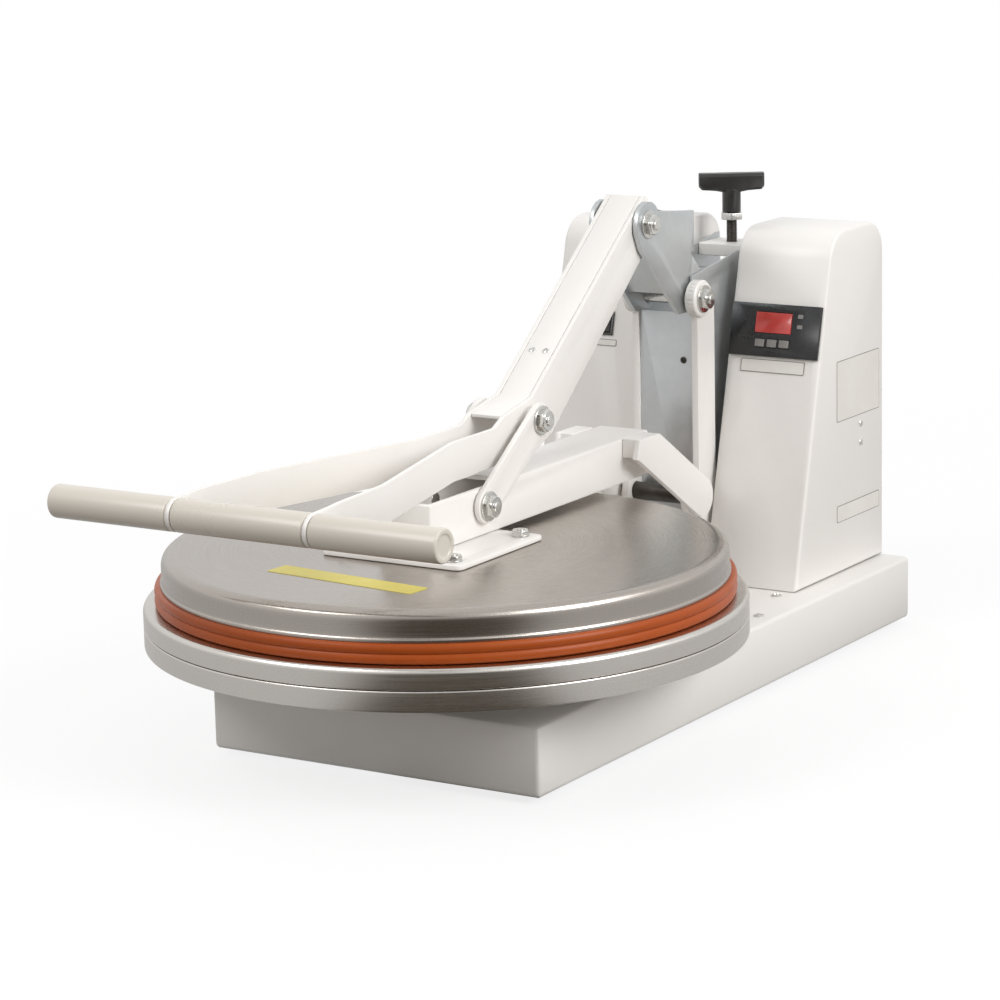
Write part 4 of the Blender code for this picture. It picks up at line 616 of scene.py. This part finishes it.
def wrap(rows: int, columns: int, closed: bool) -> Grid:
    """Quads of a grid whose columns join up, and whose rows do where closed.

    Returns:
        The quads' point indices.
    """
    i, j = np.meshgrid(np.arange(rows if closed else rows - 1), np.arange(columns), indexing="ij")
    up, over = (i + 1) % rows, (j + 1) % columns
    return np.stack([i * columns + j, i * columns + over, up * columns + over, up * columns + j],
                    axis=-1).reshape(-1, 4)


def turned(profile: Grid, centre: tuple[float, float, float], axis: Axis = Axis.Z, steps: int = 96,
           closed: bool = False, wave: Grid | None = None) -> tuple[Grid, Grid]:
    """A profile of (radius, height) carried round an axis: (r cos a, r sin a, h) about the centre.

    Args:
        profile: The points, one per row. Where not closed, both ends lie on the axis.
        centre: Where height 0 of the axis is.
        axis: The axis that height runs along.
        steps: Steps of the turn.
        closed: Whether the profile is a loop, clear of the axis.
        wave: Radii of the whole grid, rows by steps, where they change with the angle.

    Returns:
        The points and the quads.
    """
    angle = np.arange(steps) / steps * FULL_TURN
    radius = profile[:, :1] * np.ones(steps) if wave is None else wave
    height = profile[:, 1:2] * np.ones(steps)
    local = np.stack([radius * np.cos(angle), radius * np.sin(angle), height], axis=-1).reshape(-1, 3)
    points = np.roll(local, axis.value + 1, axis=1) + np.array(centre)
    return points, wrap(len(profile), steps, closed)


def hexagon(across: float, centre: tuple[float, float, float], axis: Axis, low: float, high: float,
            turn: float = 0.0, steps: int = 48, chamfer: float = 0.1) -> tuple[Grid, Grid]:
    """A hexagon head: at each height the radius is the lesser of the hexagon's,
    a / cos((angle mod 60) - 30), and of a cone that takes the corners off towards the top.

    Args:
        across: Half the width across the flats.
        centre: A point on its axis.
        axis: The axis.
        low: Where it starts along the axis.
        high: Where it ends; below low, it faces the other way.
        turn: Turn of the flats in degrees.
        steps: Steps of the turn.
        chamfer: The cone's height as a share of across.

    Returns:
        The points and the quads.
    """
    angle = np.arange(steps) / steps * 360.0 + turn
    reach = across / np.cos(np.radians(np.mod(angle, 60.0) - 30.0))
    way = math.copysign(1.0, high - low)
    cut = across * chamfer
    levels = np.array([low, low, high - 3 * way * cut, high - 2 * way * cut, high - way * cut, high, high])
    cones = np.array([0.0, 2.0, 2.0, 1.155, 1.065, 0.96, 0.0]) * across
    wave = np.minimum(reach[None, :], cones[:, None])
    profile = np.stack([cones, levels], axis=1)
    return turned(profile, centre, axis, steps, wave=wave)


def thread(radius: float, depth: float, pitch: float, centre: tuple[float, float, float], axis: Axis,
           low: float, high: float, steps: int = 32) -> tuple[Grid, Grid]:
    """A threaded rod: radius - depth * |2 frac(h / pitch - angle / turn) - 1|, with both ends closed.

    Returns:
        The points and the quads.
    """
    rows = max(8, int(abs(high - low) / pitch * 8))
    levels = np.concatenate([[low], np.linspace(low, high, rows), [high]])
    angle = np.arange(steps) / steps
    phase = np.mod(levels[:, None] / pitch - angle[None, :], 1.0)
    wave = radius - depth * np.abs(2 * phase - 1)
    wave[[0, -1]] = 0.0
    wave[[1, -2]] = radius - depth
    return turned(np.stack([np.full(len(levels), radius), levels], axis=1), centre, axis, steps, wave=wave)


def joined(*parts: tuple[Grid, Grid]) -> tuple[Grid, Grid]:
    """Puts several point and quad sets into one.

    Returns:
        The points and the quads.
    """
    counts = np.cumsum([0] + [len(points) for points, _ in parts[:-1]])
    return (np.concatenate([points for points, _ in parts]),
            np.concatenate([faces + shift for (_, faces), shift in zip(parts, counts)]))


def moved(part: tuple[Grid, Grid], matrix: Matrix) -> tuple[Grid, Grid]:
    """Applies a matrix to a part's points: p' = R p + t.

    Returns:
        The points and the quads.
    """
    m = np.array(matrix)
    return part[0] @ m[:3, :3].T + m[:3, 3], part[1]


def sheet_label(width: float, height: float, thickness: float, corner: float = 0.0015,
                steps: int = 5) -> tuple[Grid, Grid]:
    """A thin plate with rounded corners, flat on the plane z = 0: its outline scaled from the middle in
    rows, out to the rim and up over it with a small rounding.

    Returns:
        The points and the quads.
    """
    outline = rounded([(-width / 2, -height / 2), (width / 2, -height / 2), (width / 2, height / 2),
                       (-width / 2, height / 2)], corner, steps, closed=True)
    share = np.array([0.0, 1.0, 1.0, 1.0 - thickness / width * 0.5, 0.0])
    level = np.array([0.0, 0.0, 0.6, 1.0, 1.0]) * thickness
    flat = share[:, None, None] * outline[None, :, :]
    lift = np.broadcast_to(level[:, None, None], flat.shape[:2] + (1,))
    return np.concatenate([flat, lift], axis=2).reshape(-1, 3), wrap(len(share), len(outline), False)


def screw_head(radius: float, height: float, steps: int = 48, rows: int = 14) -> tuple[Grid, Grid]:
    """A domed screw with a cross recess, standing on z = 0: dome height h (1 - r^2)^0.5, less a recess
    where the point is within the cross's arms.

    Returns:
        The points and the quads.
    """
    share = np.linspace(0.0, 1.0, rows)[::-1]
    angle = np.arange(steps) / steps * FULL_TURN
    x, y = share[:, None] * np.cos(angle), share[:, None] * np.sin(angle)
    dome = np.sqrt(np.clip(1 - 0.92 * share ** 2, 0, None))[:, None] * np.ones(steps)
    near = np.minimum(np.abs(x), np.abs(y))
    reach = np.maximum(np.abs(x), np.abs(y))
    arms = np.clip((0.13 - near) / 0.05, 0, 1) * np.clip((0.58 - reach) / 0.1, 0, 1)
    z = (dome - 0.45 * arms) * height
    top = np.stack([x * radius, y * radius, z], axis=-1).reshape(-1, 3)
    rim = np.stack([radius * np.cos(angle), radius * np.sin(angle), np.zeros(steps)], axis=-1)
    base = np.zeros((steps, 3))
    points = np.concatenate([base, rim, top])
    return points, wrap(rows + 2, steps, False)


def facing(point: tuple[float, float, float], normal: tuple[float, float, float],
           up: tuple[float, float, float] = (0.0, 0.0, 1.0), roll: float = 0.0) -> Matrix:
    """A frame whose z looks along a normal, and whose y leans towards up.

    Returns:
        The matrix.
    """
    z = Vector(normal).normalized()
    x = Vector(up).cross(z).normalized()
    y = z.cross(x)
    turn = Matrix((x, y, z)).transposed().to_4x4()
    return Matrix.Translation(point) @ turn @ Matrix.Rotation(math.radians(roll), 4, "Z")


@dataclass
class Platens:
    """The two heated platens, the silicone ring between them, the cover and the pedestal."""

    shop: Workshop
    steps: int = 256
    edge: float = 0.0016
    cover_round: float = 0.010
    cover_wall: float = 0.0012

    def ring(self, node: str) -> tuple[float, float, float]:
        """Outer radius, bottom and top of a round CAD node."""
        low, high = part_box(node)
        return (high.x - low.x) / 2, low.z, high.z

    def disc(self, node: str, body: str, coat: Coat, name: str, profile: list[tuple[float, float]],
             closed: bool = False, corner: float | None = None) -> None:
        """Turns one round piece about the platens' axis from its corner points."""
        line = rounded(profile, self.edge if corner is None else corner, closed=closed)
        points, faces = turned(line, PLATEN_AXIS, Axis.Z, self.steps, closed)
        self.shop.place(self.shop.skin(points, faces, name, 30), name, body, coat, (node,))

    def build(self) -> None:
        """Makes the platens, ring, cover and pedestal."""
        r, low, high = self.ring("platen_pedestal")
        neck, wall, foot = r - 0.025, 0.004, 0.006
        self.disc("platen_pedestal", "machine", Coat.GALVANISED, "pedestal_ring",
                  [(neck - wall, low), (r, low), (r, low + foot), (neck, low + foot), (neck, high),
                   (neck - wall, high)], closed=True)
        r, low, high = self.ring("lower_platen_pan")
        self.disc("lower_platen_pan", "machine", Coat.ALUMINIUM, "lower_pan",
                  [(0, low), (r, low), (r, high), (0, high)])
        r, low, high = self.ring("lower_platen")
        self.disc("lower_platen", "machine", Coat.ALUMINIUM, "lower_heating_platen",
                  [(0, low), (r, low), (r, high - 0.0030), (r - 0.0022, high), (0, high)])
        r, low, high = self.ring("upper_platen")
        self.disc("upper_platen", "platen_arm", Coat.ALUMINIUM, "upper_heating_platen",
                  [(0, low), (r, low), (r, high), (0, high)], corner=0.0008)
        self.silicone()
        self.cover()

    def silicone(self) -> None:
        """The moulded ring: two swelling beads with a groove, seen all round between the platens."""
        r, low, high = self.ring("silicone_ring")
        inner = r - 0.0057
        t = np.linspace(0, 1, 29)
        swell = 0.0016 * np.abs(np.sin(2 * np.pi * t)) ** 0.7
        face = np.stack([r - 0.0016 + swell, low + (high - low) * t], axis=1)
        line = np.concatenate([face, [[inner, high], [inner, low]]])
        points, faces = turned(line, PLATEN_AXIS, Axis.Z, self.steps, True)
        self.shop.place(self.shop.skin(points, faces, "silicone_seal", 50), "silicone_seal", "platen_arm",
                        Coat.SILICONE, ("silicone_ring",))

    def cover(self) -> None:
        """The pressed stainless cover: a shell with a rolled lip, an outer wall and a soft shoulder."""
        r, low, high = self.ring("platen_cover")
        body = r - 0.0013
        wall = self.cover_wall
        outer = rounded([(r, low), (r, low + 0.0022), (body, low + 0.0038), (body, high), (0, high)],
                        self.cover_round, 12)
        inner = rounded([(0, high - wall), (body - wall, high - wall), (body - wall, low)],
                        self.cover_round - wall, 12)
        line = np.concatenate([outer, inner, [[r, low]]])
        points, faces = turned(line, PLATEN_AXIS, Axis.Z, self.steps)
        self.shop.place(self.shop.skin(points, faces, "stainless_cover", 34), "stainless_cover", "platen_arm",
                        Coat.BRUSHED, ("platen_cover",))
        strip = sheet_label(0.142, 0.023, 0.00035, 0.002)
        spot = facing((0.001, MACHINE_Y - 0.140, high), (0, 0, 1), (0, 1, 0), -5.5)
        points, faces = moved(strip, spot)
        self.shop.place(self.shop.skin(points, faces, "cover_strip"), "cover_strip", "platen_arm", Coat.YELLOW)


@dataclass
class PivotBolts:
    """Hexagon bolts, cap nuts, studs and pins of the linkage."""

    shop: Workshop
    hexagon_half: float = 0.0083
    washer: float = 0.0120

    def bolt(self, node: str, body: str, name: str, sign: int, turn: float) -> None:
        """Replaces an elbow or link bolt: shank, washer, hexagon head and a domed end.

        Args:
            node: The CAD node.
            body: Its body.
            name: The new piece's name.
            sign: 1 where the head looks along +X, -1 along -X.
            turn: Turn of the head's flats.
        """
        low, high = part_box(node)
        centre = (0.0, (low.y + high.y) / 2, (low.z + high.z) / 2)
        head = high.x if sign > 0 else low.x
        root = low.x if sign > 0 else high.x
        seat = head - sign * 0.0086
        shank = turned(rounded([(0, root), (0.006, root), (0.006, seat), (0, seat)], 0.0005), centre, Axis.X, 48)
        rim = turned(rounded([(0, seat), (self.washer, seat), (self.washer, seat + sign * 0.0016),
                              (0, seat + sign * 0.0016)], 0.0006), centre, Axis.X, 64)
        nut = hexagon(self.hexagon_half, centre, Axis.X, seat + sign * 0.0014, seat + sign * 0.0071, turn)
        tip = turned(rounded([(0, seat), (0.0045, seat), (0.0045, head), (0, head)], 0.0014), centre, Axis.X, 40)
        points, faces = joined(shank, rim, nut, tip)
        self.shop.place(self.shop.skin(points, faces, name, 30), name, body, Coat.BRIGHT, (node,))

    def pin(self, node: str, body: str, name: str, plain: float, ends: tuple[float, float]) -> None:
        """Replaces a through pin: shank, a domed rivet head at -X and a washer and nut at +X.

        Args:
            node: The CAD node.
            body: Its body.
            name: The new piece's name.
            plain: The shank's radius.
            ends: The faces that the head and the washer lie on.
        """
        low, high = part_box(node)
        centre = (0.0, (low.y + high.y) / 2, (low.z + high.z) / 2)
        left, right = ends
        shank = turned(rounded([(0, left), (plain, left), (plain, right), (0, right)], 0.0004), centre, Axis.X, 48)
        dome = turned(rounded([(0, left), (0.0120, left), (0.0120, left - 0.0022), (0.0080, low.x),
                               (0, low.x)], 0.0018), centre, Axis.X, 64)
        rim = turned(rounded([(0, right), (self.washer, right), (self.washer, right + 0.0016),
                              (0, right + 0.0016)], 0.0006), centre, Axis.X, 64)
        nut = hexagon(self.hexagon_half, centre, Axis.X, right + 0.0014, right + 0.0071, 12.0)
        tip = turned(rounded([(0, right), (0.0045, right), (0.0045, high.x), (0, high.x)], 0.0014), centre,
                     Axis.X, 40)
        points, faces = joined(shank, dome, rim, nut, tip)
        self.shop.place(self.shop.skin(points, faces, name, 30), name, body, Coat.BRIGHT, (node,))

    def flange_nut(self, node: str, name: str, turn: float) -> None:
        """Replaces one foot plate nut: washer, nut and the threaded stud through it."""
        low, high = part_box(node)
        centre = ((low.x + high.x) / 2, (low.y + high.y) / 2, 0.0)
        seat = 0.17035
        reach = (high.y - low.y) / 2
        stud = thread(0.004, 0.0004, 0.00125, centre, Axis.Z, low.z, high.z)
        rim = turned(rounded([(0, seat), (reach, seat), (reach, seat + 0.0012), (0, seat + 0.0012)], 0.0004),
                     centre, Axis.Z, 56)
        nut = hexagon(reach * 0.86, centre, Axis.Z, seat + 0.0010, high.z - 0.0006, turn)
        points, faces = joined(stud, rim, nut)
        self.shop.place(self.shop.skin(points, faces, name, 30), name, "platen_arm", Coat.BRIGHT, (node,))

    def build(self) -> None:
        """Makes every bolt, pin and nut."""
        for side, sign in (("left", -1), ("right", 1)):
            self.bolt(f"{side}_link_bolt", BODY_OF[f"{side}_link_bolt"], f"{side}_link_hex_bolt", sign, 20.0)
            self.bolt(f"{side}_elbow_bolt", BODY_OF[f"{side}_elbow_bolt"], f"{side}_elbow_hex_bolt", sign, 41.0)
        self.pin("lever_pivot_pin", BODY_OF["lever_pivot_pin"], "lever_through_bolt", 0.006, (-0.0235, 0.0235))
        self.pin("rocker_pivot_pin", "machine", "rocker_through_bolt", 0.006, (-0.0360, 0.0360))
        for row, turns in (("front", (8.0, 31.0)), ("rear", (22.0, 50.0))):
            for side, turn in zip(("left", "right"), turns):
                self.flange_nut(f"{row}_{side}_nut", f"{row}_{side}_stud_nut", turn)


@dataclass
class Grip:
    """The cross grip: three sleeves on one rod."""

    shop: Workshop
    lip: float = 0.003

    def sleeve(self, node: str, name: str, ends: tuple[bool, bool]) -> None:
        """Replaces one sleeve: a tube with rolled ends, and a pressed disc in an outer end.

        Args:
            node: The CAD node.
            name: The new piece's name.
            ends: Whether the end at -X, and the one at +X, is closed.
        """
        low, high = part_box(node)
        centre = (0.0, (low.y + high.y) / 2, (low.z + high.z) / 2)
        r = (high.z - low.z) / 2
        bore = 0.0053
        line = [(bore, low.x), (r, low.x), (r, high.x), (bore, high.x)]
        if ends[0]:
            line = [(0, low.x + 0.0012), (r * 0.62, low.x + 0.0012), (r * 0.70, low.x), (r, low.x),
                    (r, high.x), (bore, high.x), (bore, low.x + 0.0032), (0, low.x + 0.0032)]
        if ends[1]:
            line = [(0, high.x - 0.0012), (r * 0.62, high.x - 0.0012), (r * 0.70, high.x), (r, high.x),
                    (r, low.x), (bore, low.x), (bore, high.x - 0.0032), (0, high.x - 0.0032)]
        closed = not any(ends)
        profile = rounded(line, 0.0022, 6, closed)
        points, faces = turned(profile, centre, Axis.X, 80, closed)
        self.shop.place(self.shop.skin(points, faces, name, 40), name, "lever", Coat.CREAM, (node,))

    def build(self) -> None:
        """Makes the three sleeves."""
        self.sleeve("left_grip_sleeve", "left_grip_tube", (True, False))
        self.sleeve("grip_centre_sleeve", "centre_grip_tube", (False, False))
        self.sleeve("right_grip_sleeve", "right_grip_tube", (False, True))


@dataclass
class SheetMetal:
    """Painted and galvanised solids whose own shape is right: merged, rounded and finished."""

    shop: Workshop
    painted: dict[str, tuple[float, Coat]] = field(default_factory=lambda: {
        "base_housing": (0.0012, Coat.WHITE), "right_tower_casing": (0.0012, Coat.WHITE),
        "left_tower_casing": (0.0012, Coat.WHITE), "left_lever_plate": (0.0007, Coat.WHITE),
        "right_lever_plate": (0.0007, Coat.WHITE), "lever_web": (0.0006, Coat.WHITE),
        "left_toggle_link": (0.0009, Coat.WHITE), "right_toggle_link": (0.0009, Coat.WHITE),
        "platen_arm": (0.0014, Coat.WHITE), "left_hinge_cheek": (0.0010, Coat.WHITE),
        "right_hinge_cheek": (0.0010, Coat.WHITE), "arm_foot_plate": (0.0008, Coat.WHITE),
        "left_upright": (0.0009, Coat.WHITE), "right_upright": (0.0009, Coat.WHITE),
        "left_back_cover": (0.0004, Coat.WHITE), "right_back_cover": (0.0004, Coat.WHITE),
        "base_bottom_cover": (0.0004, Coat.GALVANISED), "column_channel": (0.0007, Coat.GALVANISED),
        "column_top_plate": (0.0010, Coat.WHITE), "rocker_frame": (0.0006, Coat.GALVANISED),
        "hinge_shaft": (0.0006, Coat.DARK), "screw_trunnion": (0.0006, Coat.BRIGHT),
        "knob_lock_nut": (0.0006, Coat.BRIGHT), "t_knob": (0.0020, Coat.BLACK),
        "control_panel": (0.0006, Coat.FILM), "display_lens": (0.0005, Coat.LENS),
        "temperature_controller": (0.0010, Coat.BLACK), "switch_body": (0.0006, Coat.BLACK),
        "power_rocker": (0.0006, Coat.BLACK), "cord_gland": (0.0006, Coat.BLACK),
        "mode_button": (0.0006, Coat.BUTTON), "up_button": (0.0006, Coat.BUTTON),
        "down_button": (0.0006, Coat.BUTTON), "grip_rod": (0.0004, Coat.BRIGHT)})

    def build(self) -> None:
        """Replaces each of them by its rounded self."""
        for node, (width, coat) in self.painted.items():
            self.shop.refine(node, BODY_OF[node], coat, f"{node}_finished", width)


@dataclass
class Fittings:
    """Small pieces that the solids leave out: screws, blank labels, lamps and the threaded screw."""

    shop: Workshop
    base_top: float = 0.061
    tower_side: float = 0.127
    lean: float = math.radians(13.7)

    def flat(self, name: str, part: tuple[Grid, Grid], spot: Matrix, body: str, coat: Coat) -> None:
        """Sets one small piece at a frame on a body."""
        points, faces = moved(part, spot)
        self.shop.place(self.shop.skin(points, faces, name, 35), name, body, coat)

    def framed(self, name: str, width: float, height: float, spot: Matrix) -> None:
        """Sets a blank label with a thin printed border: a dark plate under a smaller white one."""
        self.flat(name + "_border", sheet_label(width, height, 0.0002), spot, "machine", Coat.BUTTON)
        self.flat(name, sheet_label(width - 0.0012, height - 0.0012, 0.0003, 0.0010), spot, "machine", Coat.LABEL)

    def panel_point(self, x: float, along: float, proud: float = 0.0) -> tuple[float, float, float]:
        """A point on the towers' leaning fronts, along them from the panel's middle."""
        low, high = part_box("control_panel")
        middle = (low + high) / 2
        tall = Vector((0.0, math.sin(self.lean), math.cos(self.lean)))
        out = Vector((0.0, -math.cos(self.lean), math.sin(self.lean)))
        depth = 0.0015
        point = Vector((0.0, middle.y, middle.z)) + tall * along + out * (proud - depth)
        return (x, point.y, point.z)

    def build(self) -> None:
        """Makes the screws, labels, lamps, the thickness screw and the feet."""
        self.screws()
        self.labels()
        self.rod()
        self.feet()

    def screws(self) -> None:
        """Sets the small screws on the base, the right tower's side, the lever's web and the column."""
        up = (0.0, 0.0, 1.0)
        for index, (x, y) in enumerate(((-0.137, 0.271), (0.137, 0.271), (-0.117, 0.341), (0.117, 0.341))):
            spot = facing((x, y + MACHINE_Y, self.base_top), up, (0, 1, 0), 17.0 * index)
            self.flat(f"base_screw_{index + 1}", screw_head(0.0045, 0.0022), spot, "machine", Coat.BRIGHT)
        for index, z in enumerate((0.128, 0.111)):
            spot = facing((self.tower_side, 0.483 + MACHINE_Y, self.base_top + z), (1, 0, 0), up, 25.0 * index)
            self.flat(f"tower_side_screw_{index + 1}", screw_head(0.0032, 0.0014), spot, "machine", Coat.BRIGHT)
        for index, x in enumerate((-0.0066, 0.0066)):
            spot = facing((x, 0.0229, 0.29775), (0.0, -0.608, 0.794), up, 40.0 * index)
            self.flat(f"web_screw_{index + 1}", screw_head(0.0028, 0.0012), spot, "lever", Coat.BRIGHT)
        # The column screw is blackened so that it shows as a dark spot; part of that darkness is painted shade.
        spot = facing((0.0170, 0.2348, 0.2569), (0, -1, 0), up, 10.0)
        self.flat("column_screw", screw_head(0.0030, 0.0016), spot, "machine", Coat.DARK)

    def labels(self) -> None:
        """Sets the blank labels and the panel's two blank lamps."""
        up = (0.0, 0.0, 1.0)
        for name, low, high in (("side_plate_label", 0.136, 0.190), ("side_strip_label", 0.046, 0.061)):
            middle = self.base_top + (low + high) / 2
            spot = facing((self.tower_side, 0.4775 + MACHINE_Y, middle), (1, 0, 0), up)
            self.framed(name, 0.083, high - low, spot)
        out = (0.0, -math.cos(self.lean), math.sin(self.lean))
        self.framed("panel_label", 0.062, 0.0115, facing(self.panel_point(0.0815, -0.0312), out, up))
        self.framed("switch_label", 0.025, 0.006, facing(self.panel_point(-0.0890, -0.0218), out, up))
        for index, along in enumerate((0.0135, 0.0045)):
            spot = facing(self.panel_point(0.0815 + 0.024, along, 0.003), out, up)
            self.flat(f"panel_lamp_{index + 1}", sheet_label(0.005, 0.0035, 0.0006, 0.0008), spot, "machine",
                      Coat.BUTTON)

    def rod(self) -> None:
        """Replaces the thickness screw by a threaded one."""
        low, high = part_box("thickness_screw")
        centre = ((low.x + high.x) / 2, (low.y + high.y) / 2, 0.0)
        points, faces = thread((high.x - low.x) / 2, 0.0005, 0.0015, centre, Axis.Z, low.z, high.z)
        self.shop.place(self.shop.skin(points, faces, "threaded_screw", 60), "threaded_screw",
                        BODY_OF["thickness_screw"], Coat.DARK, ("thickness_screw",))

    def feet(self) -> None:
        """Replaces the four rubber feet: a cone with a rounded sole and a recess for its screw."""
        for row in ("front", "rear"):
            for side in ("left", "right"):
                node = f"{row}_{side}_foot"
                low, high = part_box(node)
                centre = ((low.x + high.x) / 2, (low.y + high.y) / 2, 0.0)
                r = (high.x - low.x) / 2
                line = rounded([(0, 0.0025), (r * 0.30, 0.0025), (r * 0.34, 0), (r * 0.92, 0), (r, high.z),
                                (0, high.z)], 0.0008)
                points, faces = turned(line, centre, Axis.Z, 64)
                name = f"{row}_{side}_rubber_foot"
                self.shop.place(self.shop.skin(points, faces, name, 35), name, "machine", Coat.RUBBER, (node,))


@dataclass
class Studio:
    """Floor, lamps, world and camera."""

    azimuth: float = 32.27
    elevation: float = 12.63
    distance: float = 2.8485
    focal: float = 3588.63
    target_x: float = 0.04444
    target_z: float = 0.17325
    roll: float = -1.31
    centre: tuple[float, float] = (500.88, 532.56)
    gap_at: float = 34.0
    gap_half: float = 27.0
    gap_level: float = 0.10
    open_level: float = 0.78
    warm: Colour = (1.0, 0.86, 0.72)

    def build(self) -> None:
        """Makes the whole studio."""
        self.floor()
        self.world()
        self.lamps()
        self.camera()

    def floor(self) -> None:
        """A pale floor that reads white to the camera and keeps the object's soft shadow."""
        mesh = bpy.data.meshes.new("floor")
        size = 6.0
        mesh.from_pydata([(-size, -size, 0), (size, -size, 0), (size, size, 0), (-size, size, 0)], [],
                         [(0, 1, 2, 3)])
        made = bpy.data.materials.new("pale_floor")
        made.use_nodes = True
        made.node_tree.nodes.clear()
        tree = Tree(made.node_tree)
        path = tree.add("LightPath")
        camera, glossy = path.outputs["Is Camera Ray"], path.outputs["Is Glossy Ray"]
        seen = tree.math("MAXIMUM", camera, glossy)
        place = tree.add("Mapping", {"Vector": tree.add("TexCoord").outputs["Object"],
                                     "Location": (0.0, -MACHINE_Y, 0.0)}).outputs[0]
        away = tree.add("VectorMath", {0: place}, operation="LENGTH").outputs["Value"]
        share = tree.math("MAXIMUM", tree.span(away, 0.8, 1.8, 0.80, 1.0), tree.math("MULTIPLY", glossy, 0.9))
        paint = tree.add("BsdfDiffuse", {"Color": tree.blend(camera, (0.165, 0.145, 0.12), (0.90,) * 3)})
        level = tree.math("MAXIMUM", camera, self.surround(tree, place))
        glow = tree.add("Emission", {"Color": self.tint(tree, level), "Strength": level})
        mixed = tree.add("MixShader", {0: tree.math("MULTIPLY", seen, share), 1: paint.outputs[0],
                                       2: glow.outputs[0]})
        tree.add("OutputMaterial", {"Surface": mixed.outputs[0]})
        mesh.materials.append(made)
        piece = bpy.data.objects.new("floor", mesh)
        bpy.context.scene.collection.objects.link(piece)

    def tint(self, tree: Tree, level: object) -> bpy.types.NodeSocket:
        """The surround's colour: warm where it is dim, white where it is bright.

        Returns:
            The colour's socket.
        """
        return tree.blend(tree.span(level, 0.10, 0.55, 0.0, 1.0), self.warm, (1.0, 1.0, 1.0))

    def surround(self, tree: Tree, place: object) -> bpy.types.NodeSocket:
        """How bright the studio looks in a reflection, by the compass angle about the platens: pale all
        round, with a dark gap where the photographer stands.

        Args:
            tree: The tree that the nodes go into.
            place: A position or a direction from the platens' axis.

        Returns:
            The brightness.
        """
        part = tree.add("SeparateXYZ", {0: place})
        angle = tree.math("ARCTAN2", part.outputs[0], tree.math("MULTIPLY", part.outputs[1], -1.0))
        compass = tree.math("MULTIPLY", angle, 180.0 / math.pi)
        gap = tree.math("ABSOLUTE", tree.math("SUBTRACT", compass, self.gap_at))
        return tree.span(gap, self.gap_half - 6.0, self.gap_half + 9.0, self.gap_level, self.open_level)

    def world(self) -> None:
        """A white surround, dimmer for the light that it gives than for what is seen of it."""
        world = bpy.data.worlds.new("studio")
        world.use_nodes = True
        world.node_tree.nodes.clear()
        tree = Tree(world.node_tree)
        path = tree.add("LightPath")
        seen = tree.math("MAXIMUM", path.outputs["Is Camera Ray"],
                         tree.math("MAXIMUM", path.outputs["Is Glossy Ray"],
                                   path.outputs["Is Transmission Ray"]))
        way = tree.add("TexCoord").outputs["Generated"]
        height = tree.add("SeparateXYZ", {0: way}).outputs[2]
        low = tree.math("ADD", self.surround(tree, way), tree.span(height, 0.05, 0.50, 0.0, 0.6))
        soft = tree.math("ADD", low, path.outputs["Is Camera Ray"], clamp=True)
        strength = tree.add("Mix", {0: seen, 2: 0.62, 3: soft}, data_type="FLOAT").outputs[0]
        sky = tree.add("Background", {"Color": self.tint(tree, strength), "Strength": strength})
        tree.add("OutputWorld", {"Surface": sky.outputs[0]})
        bpy.context.scene.world = world

    def lamps(self) -> None:
        """A broad lamp at the right, a weaker one at the front left, and a fill for the back that leaves
        no highlight.
        """
        for name, spot, size, power in (("key_lamp", (2.55, -0.3, 1.6), 1.5, 54.0),
                                        ("front_lamp", (-0.9, -1.9, 2.0), 1.3, 22.0),
                                        ("back_fill", (-2.2, 1.7, 1.3), 2.0, 24.0)):
            data = bpy.data.lights.new(name, "AREA")
            data.shape = "DISK"
            data.size = size
            data.energy = power
            lamp = bpy.data.objects.new(name, data)
            lamp.visible_glossy = name != "back_fill"
            bpy.context.scene.collection.objects.link(lamp)
            aim = Vector((0.0, 0.0, 0.15)) - Vector(spot)
            lamp.matrix_world = Matrix.Translation(spot) @ aim.to_track_quat("-Z", "Y").to_matrix().to_4x4()

    def camera(self) -> None:
        """The photograph's view."""
        az, el, roll = (math.radians(a) for a in (self.azimuth, self.elevation, self.roll))
        back = Vector((math.sin(az) * math.cos(el), -math.cos(az) * math.cos(el), math.sin(el)))
        right = Vector((math.cos(az), math.sin(az), 0.0))
        up = back.cross(right)
        turned_right = right * math.cos(roll) + up * math.sin(roll)
        turned_up = up * math.cos(roll) - right * math.sin(roll)
        target = Vector((self.target_x * math.cos(az), self.target_x * math.sin(az) + MACHINE_Y, self.target_z))
        place = target + back * self.distance
        data = bpy.data.cameras.new("photo_camera")
        data.sensor_width = 36.0
        data.sensor_fit = "HORIZONTAL"
        data.lens = self.focal / 1000.0 * 36.0
        data.shift_x = -(self.centre[0] - 500.0) / 1000.0
        data.shift_y = (self.centre[1] - 500.0) / 1000.0
        data.clip_end = 50.0
        camera = bpy.data.objects.new("photo_camera", data)
        bpy.context.scene.collection.objects.link(camera)
        turn = Matrix((turned_right, turned_up, back)).transposed().to_4x4()
        camera.matrix_world = Matrix.Translation(place) @ turn
        bpy.context.scene.camera = camera


BODY_OF: dict[str, str] = {node: piece["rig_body"] for node, piece in frame["nodes"].items()}


def main() -> None:
    """Builds every sub-assembly in order."""
    logging.basicConfig(level=logging.INFO, format="%(name)s %(message)s")
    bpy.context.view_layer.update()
    shop = Workshop()
    for assembly in (Platens(shop), PivotBolts(shop), Grip(shop), SheetMetal(shop), Fittings(shop)):
        assembly.build()
    for node, piece in frame["nodes"].items():
        if not piece.hide_render:
            coat = Coat.DARK if node == "heating_element" else Coat.FIBRE
            shop.dress(piece, coat)
    Studio().build()
    bpy.context.scene.view_settings.view_transform = "Standard"


if __name__ == "__main__":
    main()
